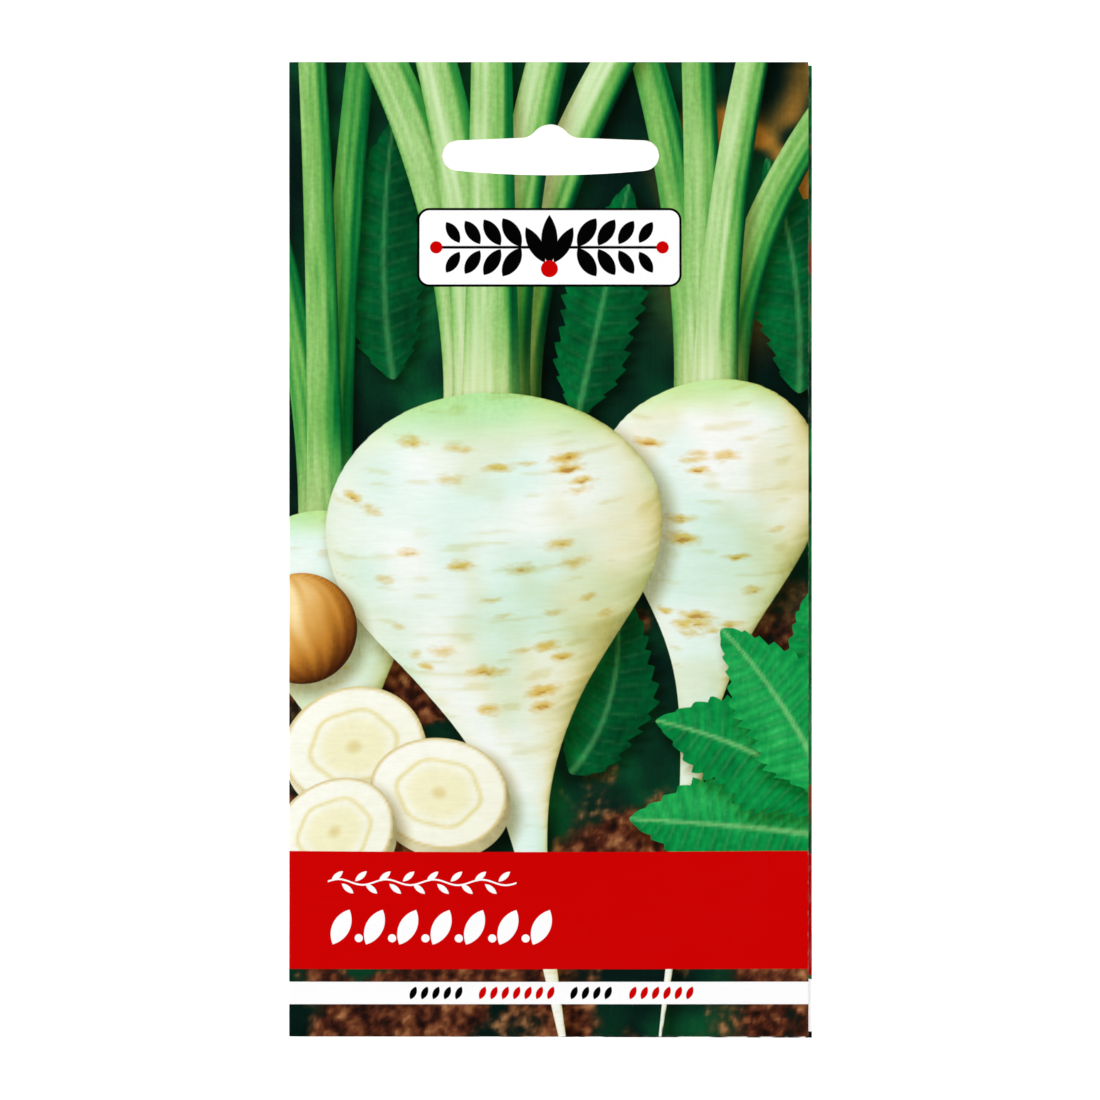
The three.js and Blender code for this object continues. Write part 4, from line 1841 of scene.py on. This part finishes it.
@dataclass(frozen=True)
class BackPrint(Coated):
    """The back's print: cream, with a header, a sowing picture and calendar, badges, rules and a foot."""

    roughness: float = 0.4
    header: float = 54.5
    box_pitch: float = 5.6
    box_drop: float = 5.4
    box_y: float = 17.0
    box_half: Point = (2.5, 2.1)
    rule_pitch: float = 3.4
    rule_y: float = -16.0
    rule_x: float = -2.4
    badge_x: float = 20.0
    badge_y: float = -3.6
    badge_radius: float = 5.2
    sun_radius: float = 1.7
    ray: Oval = Oval(1.7, 0.6, math.pi / 4)
    badge_leaf: Oval = Oval(6.8, 3.2, 0.9)
    drop_radius: float = 2.05
    plot_y: float = 36.5
    plot_half: Point = (31.0, 10.5)
    plant_pitch: float = 12.0
    sown_seed: Oval = Oval(2.6, 1.7, 0.4)
    sprout_leaf: Oval = Oval(3.6, 1.5, 0.75)
    row_y: float = -51.5
    row_pitch: float = 6.0
    row_leaf: Oval = Oval(5.2, 2.2, 0.9)
    row_berry: float = 0.75
    foot_green: float = -58.5
    foot_white: float = -66.0
    foot_dark: float = -69.4

    def calendar(self, x: Value, y: Value) -> tuple[Value, Value, Value]:
        """Twelve boxes in two rows, with some filled.

        Args:
            x: Millimetres across.
            y: Millimetres up.

        Returns:
            The outlines, the boxes filled green and those filled ochre.
        """
        station = repeated(x, -5.5 * self.box_pitch, self.box_pitch, 12)
        upper = rounded_box(station, y, (0, self.box_y), self.box_half, 0.5)
        lower = rounded_box(station, y, (0, self.box_y - self.box_drop), self.box_half, 0.5)
        lines = edge(abs(upper) - 0.11).at_least(edge(abs(lower) - 0.11))
        sown = edge(upper + 0.35) * between(x, -4 * self.box_pitch, -self.box_pitch)
        picked = edge(lower + 0.35) * between(x, 2 * self.box_pitch, 5 * self.box_pitch)
        return lines, sown, picked

    def rules(self, x: Value, y: Value) -> Value:
        """Nine rows of short grey bars of uneven lengths.

        Args:
            x: Millimetres across.
            y: Millimetres up.

        Returns:
            How much of a place it covers.
        """
        row = ((y - self.rule_y) / self.rule_pitch).whole().at_least(-8).at_most(0)
        off_x, off_y = x - self.rule_x, y - self.rule_y - row * self.rule_pitch
        ragged = (row * 2.4).sine() * 5 + 25
        bar = rounded_box(off_x, off_y, (0, 0), (30, 0.42), 0.4).at_least(off_x - ragged)
        words = abs((x * 0.9 + (row * 1.7).sine() * 4).sine()) - 0.14
        return edge(bar) * smooth_value(words, 0, 0.05)

    def badges(self, x: Value, y: Value) -> tuple[Value, Value]:
        """Three round badges, with a sun, a leaf and a drop in them.

        Args:
            x: Millimetres across.
            y: Millimetres up.

        Returns:
            The rings and the icons.
        """
        off_y = y - self.badge_y
        from_ring = repeated(x, -self.badge_x, self.badge_x, 3).hypot(off_y) - self.badge_radius
        to_sun, to_drop = x + self.badge_x, x - self.badge_x
        sun = to_sun.hypot(off_y) - self.sun_radius
        rays = self.ray.distance(abs(to_sun) - 2.05, abs(off_y) - 2.05)
        flat_rays = (abs(to_sun) - 2.9).hypot(off_y) - 0.4
        tall_rays = to_sun.hypot(abs(off_y) - 2.9) - 0.4
        leaf = self.badge_leaf.distance(x, off_y)
        tip = (abs(to_drop) * 0.885 + (off_y - 3.3) * 0.466).at_least(-0.15 - off_y)
        drop = tip.at_most(to_drop.hypot(off_y + 1.1) - self.drop_radius)
        icons = sun.at_most(rays).at_most(flat_rays).at_most(tall_rays).at_most(leaf).at_most(drop)
        return edge(abs(from_ring) - 0.22), edge(icons)

    def furrow(self, x: Value, y: Value) -> tuple[Value, Value, Value]:
        """A sowing picture: the soil below a wavy line, five seeds in it and the sprouts above.

        Args:
            x: Millimetres across.
            y: Millimetres up.

        Returns:
            The soil, the seeds and the sprouts.
        """
        plot = rounded_box(x, y, (0, self.plot_y), self.plot_half, 1.2)
        soil = (y - (self.plot_y - 2.0) - (x * 0.55).sine() * 0.35).at_least(plot)
        station = repeated(x, -2 * self.plant_pitch, self.plant_pitch, 5)
        seeds = self.sown_seed.distance(station, y - (self.plot_y - 6.1))
        sprout = (abs(station) - 0.16).at_least(abs(y - (self.plot_y + 0.5)) - 2.4)
        leaves = self.sprout_leaf.distance(abs(station) - 1.25, y - (self.plot_y + 3.7))
        return edge(soil), edge(seeds), edge(sprout.at_most(leaves))

    def material(self) -> Material:
        """Builds the back's material, whose x runs to the left as the back is looked at.

        Returns:
            The material.
        """
        shader = Shader("back print")
        x, y, _ = shader.places()
        x = 0 - x
        soil, seeds, sprouts = self.furrow(x, y)
        lines, sown, picked = self.calendar(x, y)
        rings, icons = self.badges(x, y)
        leaves = self.row_leaf.distance(repeated(x, -5 * self.row_pitch, self.row_pitch, 11), y - self.row_y)
        between_leaves = repeated(x, -4.5 * self.row_pitch, self.row_pitch, 10)
        berries = between_leaves.hypot(y - (self.row_y - 1.2)) - self.row_berry
        colour = shader.overprinted(
            Ink.CREAM,
            (edge(self.header - y), Ink.GREEN),
            (between(y, self.header - 1.6, self.header - 0.9), Ink.LEAF),
            (soil, Ink.EARTH),
            (seeds, Ink.CREAM),
            (sprouts, Ink.GREEN),
            (sown, Ink.LEAF),
            (picked, Ink.OCHRE),
            (lines, Ink.GREEN),
            (rings, Ink.GREEN),
            (icons, Ink.LEAF),
            (self.rules(x, y), Ink.GREY),
            (edge(leaves), Ink.LEAF),
            (edge(berries), Ink.RED),
            (edge(y - self.foot_green), Ink.GREEN),
            (edge(y - self.foot_white), Ink.WHITE),
            (edge(y - self.foot_dark), Ink.DARK_GREEN),
        )
        wear = smooth_value(shader.noise(1.6, detail=4), 0.68, 0.82) * 0.2
        return self.surface(shader, colour, wear)


@dataclass(frozen=True)
class GlueFilm:
    """Dried paper glue: cream, slightly glossy and uneven."""

    depth: float = 0.01
    dull: Colour = ink(214, 204, 172)
    pale: Colour = ink(240, 234, 214)

    def material(self) -> Material:
        """Cream film with soft blotches and fine pits.

        Returns:
            The material.
        """
        shader = Shader("dried glue")
        blotch = shader.noise(3.0, detail=3)
        pits = shader.noise(0.4, detail=2)
        return shader.finish(
            Base_Color=shader.mix(blotch, self.dull, self.pale),
            Roughness=0.35 + pits * 0.35,
            Normal=shader.bump(blotch * 0.5 + pits * 0.5, self.depth),
        )


@dataclass(frozen=True)
class SeedCoat:
    """Dry seed skin: tan with brown ribs and a pale papery rim."""

    depth: float = 0.03
    brown: Colour = ink(150, 106, 58)
    tan: Colour = ink(204, 166, 106)
    groove: Colour = ink(96, 62, 32)
    papery: Colour = ink(222, 198, 150)

    def material(self) -> Material:
        """Tan to brown by the seed's own tint and ribs, with fine mottling.

        Returns:
            The material.
        """
        shader = Shader("seed coat")
        tint, rib, rim = shader.channels(shader.attribute("seed_facts").outputs["Color"])
        mottle = shader.noise(0.5, detail=3)
        body = shader.mix(tint * 0.7 + mottle * 0.3, self.brown, self.tan)
        return shader.finish(
            Base_Color=shader.overprinted(body, (rib * 0.6, self.groove), (rim * 0.7, self.papery)),
            Roughness=0.7 + mottle * 0.2,
            Normal=shader.bump(mottle, self.depth),
        )


# ---- sub-assemblies


@dataclass
class FoldedSheet:
    """The folded sheet: its printed front and its back."""

    form: PacketForm
    front_cell: float = 0.378
    back_cell: float = 0.78
    picture: Picture = field(default_factory=Picture)

    def build(self) -> list[Piece]:
        """Builds and dresses both plies.

        Returns:
            The front and the back.
        """
        form = self.form
        slot = HangingSlot(form.top)
        front, shown = SheetPanel(form, slot, self.front_cell, Ply.FRONT).mesh("front_panel")
        points = np.empty(len(front.data.vertices) * 3, np.float32)
        front.data.vertices.foreach_get("co", points)
        at = points.reshape(-1, 3)[:shown, :2].T / MM
        ground, scars, layers = self.picture.paint(at.astype(float))
        add_colours(front, "ground", ground)
        add_colours(front, "scars", scars)
        for number, layer in enumerate(layers):
            add_colours(front, f"picture_{number}", layer)
        printed = FrontPrint().material(len(layers), form.front_edge, form.bottom, form.top)
        dress(front, "packet_sheet", "printed_paper", printed, PaperCore().material())
        back, _ = SheetPanel(form, slot, self.back_cell, Ply.BACK).mesh("back_panel")
        dress(back, "packet_sheet", "printed_paper", BackPrint().material(), ShadedPrintLip().material())
        return [front, back]


@dataclass
class Seals:
    """The three glued strips, whose solids are shown as they are."""

    nodes: tuple[str, ...] = ("header_seal", "side_seal", "bottom_seal")

    def build(self) -> list[Piece]:
        """Gives the strips their material.

        Returns:
            The strips.
        """
        material = GlueFilm().material()
        seals = [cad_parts[name] for name in self.nodes]
        for seal in seals:
            for holder in seal.material_slots:
                holder.link = "OBJECT"
                holder.material = material
        return seals


@dataclass
class RandomSource:
    """Repeatable numbers from 0 to 1: s' = (a s + c) mod 2^32, over 2^32."""

    state: int
    factor: int = 1664525
    step: int = 1013904223
    modulus: int = 2**32

    def next(self) -> float:
        """The next number."""
        self.state = (self.state * self.factor + self.step) % self.modulus
        return self.state / self.modulus

    def about(self, reach: float) -> float:
        """A number from -reach to reach."""
        return reach * (2 * self.next() - 1)


@dataclass
class SeedHeap:
    """The loose seeds in the pocket: flat ribbed ovals with a papery rim."""

    form: PacketForm
    length: float = 6.2
    width: float = 4.8
    thickness: float = 1.0
    tilt: float = 0.1
    middle: Point = (-3.0, -18.0)
    half_width: float = 21.0
    half_height: float = 32.0
    pitch: float = 5.7
    jitter: float = 0.5
    clearance: float = 0.08
    upper_share: float = 0.4
    upper_lift: float = 0.55
    upper_shift: float = 1.2
    seed: int = 20260
    around: int = 18
    rings: int = 6
    body_share: float = 0.78
    rib_pitch: float = 1.3

    def places(self) -> list[tuple[float, ...]]:
        """Places every seed, on a jittered triangular grid inside an oval.

        Returns:
            x, y and z in millimetres, two tilts and a turn, per seed.
        """
        source = RandomSource(self.seed)
        row_pitch = self.pitch * math.sin(math.pi / 3)
        rows = math.floor(self.half_height / row_pitch)
        lower = []
        for row in range(-rows, rows + 1):
            shift = self.pitch / 2 if row % 2 else 0.0
            for step in range(math.floor((2 * self.half_width + shift) / self.pitch + 1e-9) + 1):
                x = step * self.pitch - self.half_width - shift + source.about(self.jitter)
                y = row * row_pitch + source.about(self.jitter)
                if math.hypot(x / self.half_width, y / self.half_height) < 1:
                    lower.append((x, y))
        bed = self.form.paper + self.clearance + self.thickness / 2
        seeds = []
        for x, y in lower:
            x, y = self.middle[0] + x, self.middle[1] + y
            heading = 2 * math.pi * source.next()
            tilts = [source.about(self.tilt) for _ in range(2)]
            seeds.append((x, y, bed, *tilts, heading))
            if source.next() > self.upper_share:
                continue
            x += self.upper_shift * math.cos(heading)
            y += self.upper_shift * math.sin(heading)
            turn = heading + math.pi / 3 + source.next()
            tilts = [source.about(self.tilt) for _ in range(2)]
            seeds.append((x, y, bed + self.upper_lift, *tilts, turn))
        return seeds

    def shell(self) -> tuple[Array, Array]:
        """One seed's closed shell, as two domes that meet at a sharp rim.

        At a share s of the radius, a dome is 0.5 t (0.16 + 0.84 (1 - (s / b)^2)) high up to the
        body's share b, and thins to 0 at s = 1. Ribs take up to 0.14 off its height.

        Returns:
            Points and their facts (nothing, rib, rim): the upper pole, the upper dome's rings
            from the inside out, the lower dome's rings without the rim, and the lower pole.
        """
        share = np.linspace(0, 1, self.rings + 1)[1:]
        turn = np.arange(self.around) * 2 * np.pi / self.around
        ring_share, ring_turn = np.meshgrid(share, turn, indexing="ij")
        along = ring_share * np.cos(ring_turn) * self.length / 2
        across = ring_share * np.sin(ring_turn) * self.width / 2
        body = np.clip(1 - (ring_share / self.body_share) ** 2, 0, 1)
        rib = 0.5 + 0.5 * np.cos(across * 2 * np.pi / self.rib_pitch)
        height = self.thickness * (0.42 * body + 0.08 * smooth(1.0, 0.8, ring_share))
        height = height * (0.86 + 0.14 * rib)
        height[-1] = 0
        pole, pole_fact = np.array([[0, 0, self.thickness * 0.5]]), np.array([[0.0, 1, 0]])
        upper = np.stack([along, across, height], axis=-1)
        facts = np.stack([along * 0, rib * (body > 0), smooth(0.75, 0.9, ring_share)], axis=-1)
        lower, lower_facts = upper[:-1] * (1, 1, -1), facts[:-1]
        return (
            np.vstack([pole, upper.reshape(-1, 3), lower.reshape(-1, 3), -pole]),
            np.vstack([pole_fact, facts.reshape(-1, 3), lower_facts.reshape(-1, 3), pole_fact]),
        )

    def shell_faces(self) -> tuple[Array, Array]:
        """Point numbers of the shell's faces: 1 + ring * n + step on a dome, the rim being shared.

        Returns:
            The triangles at the poles and the quads between rings, anticlockwise from outside.
        """
        upper = 1 + np.arange(self.rings * self.around).reshape(self.rings, self.around)
        lower = upper + upper.size
        lower[-1] = upper[-1]
        last = 1 + upper.size + (self.rings - 1) * self.around
        upper_ahead, lower_ahead = np.roll(upper, -1, axis=1), np.roll(lower, -1, axis=1)
        first, final = np.zeros(self.around, int), np.full(self.around, last)
        fans = [(first, upper[0], upper_ahead[0]), (final, lower_ahead[0], lower[0])]
        quads = [
            (upper[:-1], upper[1:], upper_ahead[1:], upper_ahead[:-1]),
            (lower[:-1], lower_ahead[:-1], lower_ahead[1:], lower[1:]),
        ]
        triangles = np.vstack([np.stack(fan, axis=-1) for fan in fans])
        return triangles, np.vstack([np.stack(quad, axis=-1).reshape(-1, 4) for quad in quads])

    def build(self) -> list[Piece]:
        """Builds and dresses the heap: the shell turned by Rx Ry Rz and moved to each place.

        Returns:
            The heap.
        """
        points, facts = self.shell()
        seeds = np.array(self.places())
        tilt_x, tilt_y, turn = seeds[:, 3:].T
        ones, zeros = np.ones(len(seeds)), np.zeros(len(seeds))
        cx, sx, cy, sy, cz, sz = (f(v) for v in (tilt_x, tilt_y, turn) for f in (np.cos, np.sin))
        about_x = np.array([[ones, zeros, zeros], [zeros, cx, -sx], [zeros, sx, cx]])
        about_y = np.array([[cy, zeros, sy], [zeros, ones, zeros], [-sy, zeros, cy]])
        about_z = np.array([[cz, -sz, zeros], [sz, cz, zeros], [zeros, zeros, ones]])
        turned = np.einsum("abn,bcn,cdn->nad", about_x, about_y, about_z)
        placed = np.einsum("nad,pd->npa", turned, points) + seeds[:, None, :3]
        tints = np.random.default_rng(self.seed).random(len(seeds))
        every = np.repeat(facts[None], len(seeds), axis=0)
        every[:, :, 0] = tints[:, None]
        first = len(points) * np.arange(len(seeds))[:, None, None]
        faces = [face for part in self.shell_faces() for face in np.vstack(first + part).tolist()]
        heap = new_piece("seed_heap", placed.reshape(-1, 3), faces)
        add_colours(heap, "seed_facts", every.reshape(-1, 3))
        dress(heap, "seeds", "seed", SeedCoat().material())
        return [heap]


@dataclass(frozen=True)
class Lamp:
    """A long soft light: its name, its place in metres and its power in watts."""

    name: str
    place: tuple[float, float, float]
    power: float


@dataclass
class Studio:
    """A pale table, soft lights from the sides and a camera straight above."""

    field_width: float = 168.26
    lens: float = 100.0
    sensor: float = 36.0
    sealed_height: float = 1.2
    middle: Point = (-0.08, 0.0)
    table_half: float = 4000.0
    table_gap: float = 0.03
    table_glow: float = 0.6
    lamp_width: float = 2.2
    lamp_height: float = 0.7
    horizon: float = 0.8
    zenith: float = 0.05
    lamps: tuple[Lamp, ...] = (
        Lamp("key", (-0.75, 0.5, 0.52), 10.6),
        Lamp("fill", (0.85, 0.15, 0.5), 6.3),
        Lamp("low fill", (-0.1, -0.85, 0.5), 4.9),
    )

    def table(self) -> None:
        """The white table that the packet lies on."""
        corners = np.array([(-1, -1), (1, -1), (1, 1), (-1, 1)]) * self.table_half
        floor = new_piece("table", np.column_stack([corners, np.full(4, -self.table_gap)]), [[0, 1, 2, 3]])
        shader = Shader("white table")
        material = shader.finish(
            Base_Color=shader.mix(shader.noise(40, detail=2), ink(249, 249, 249), ink(252, 252, 252)),
            Roughness=0.9,
            Specular_IOR_Level=0.1,
            Emission_Color=(1, 1, 1),
            Emission_Strength=self.table_glow,
        )
        floor.data.materials.append(material)

    def light(self, lamp: Lamp) -> None:
        """Puts a lamp up, aimed at the packet.

        Args:
            lamp: The lamp.
        """
        data = bpy.data.lights.new(lamp.name, "AREA")
        data.shape, data.energy = "RECTANGLE", lamp.power
        data.size, data.size_y = self.lamp_width, self.lamp_height
        holder = bpy.data.objects.new(lamp.name, data)
        holder.location = lamp.place
        holder.rotation_euler = (-Vector(lamp.place)).to_track_quat("-Z", "Y").to_euler()
        holder.visible_camera = False
        bpy.context.scene.collection.objects.link(holder)

    def sky(self) -> None:
        """Even light that is bright near the horizon and dim overhead: low + rise * (1 - z^2)."""
        world = bpy.data.worlds.new("studio")
        bpy.context.scene.world = world
        world.use_nodes = True
        nodes = Nodes(world.node_tree)
        places = nodes.node("ShaderNodeTexCoord").outputs["Generated"]
        up = Value(nodes, nodes.node("ShaderNodeSeparateXYZ", inputs={0: places}).outputs["Z"])
        ends = {"Value": up**2.0, "To Min": self.horizon, "To Max": self.zenith}
        fade = nodes.node("ShaderNodeMapRange", inputs=ends).outputs[0]
        background = nodes.tree.nodes["Background"]
        nodes.put(background.inputs["Strength"], fade)
        nodes.put(background.inputs["Color"], (1, 1, 1))

    def camera(self) -> None:
        """A long lens above the packet's middle, with the packet's top up in the image."""
        data = bpy.data.cameras.new("camera")
        data.lens, data.sensor_width = self.lens, self.sensor
        height = self.field_width * self.lens / self.sensor + self.sealed_height
        holder = bpy.data.objects.new("camera", data)
        holder.location = [part * MM for part in (*self.middle, height)]
        bpy.context.scene.collection.objects.link(holder)
        bpy.context.scene.camera = holder

    def build(self) -> list[Piece]:
        """Sets the whole studio up, which adds no piece to the packet.

        Returns:
            No piece.
        """
        bpy.context.scene.view_settings.view_transform = "Standard"
        self.table()
        for lamp in self.lamps:
            self.light(lamp)
        self.sky()
        self.camera()
        return []


def main() -> None:
    """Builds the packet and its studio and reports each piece."""
    logging.basicConfig(level=logging.INFO, format="%(name)s: %(message)s")
    form = PacketForm()
    for part in (FoldedSheet(form), Seals(), SeedHeap(form), Studio()):
        for piece in part.build():
            log.info("%s: %s with %d faces", type(part).__name__, piece.name, len(piece.data.polygons))


if __name__ == "__main__":
    main()
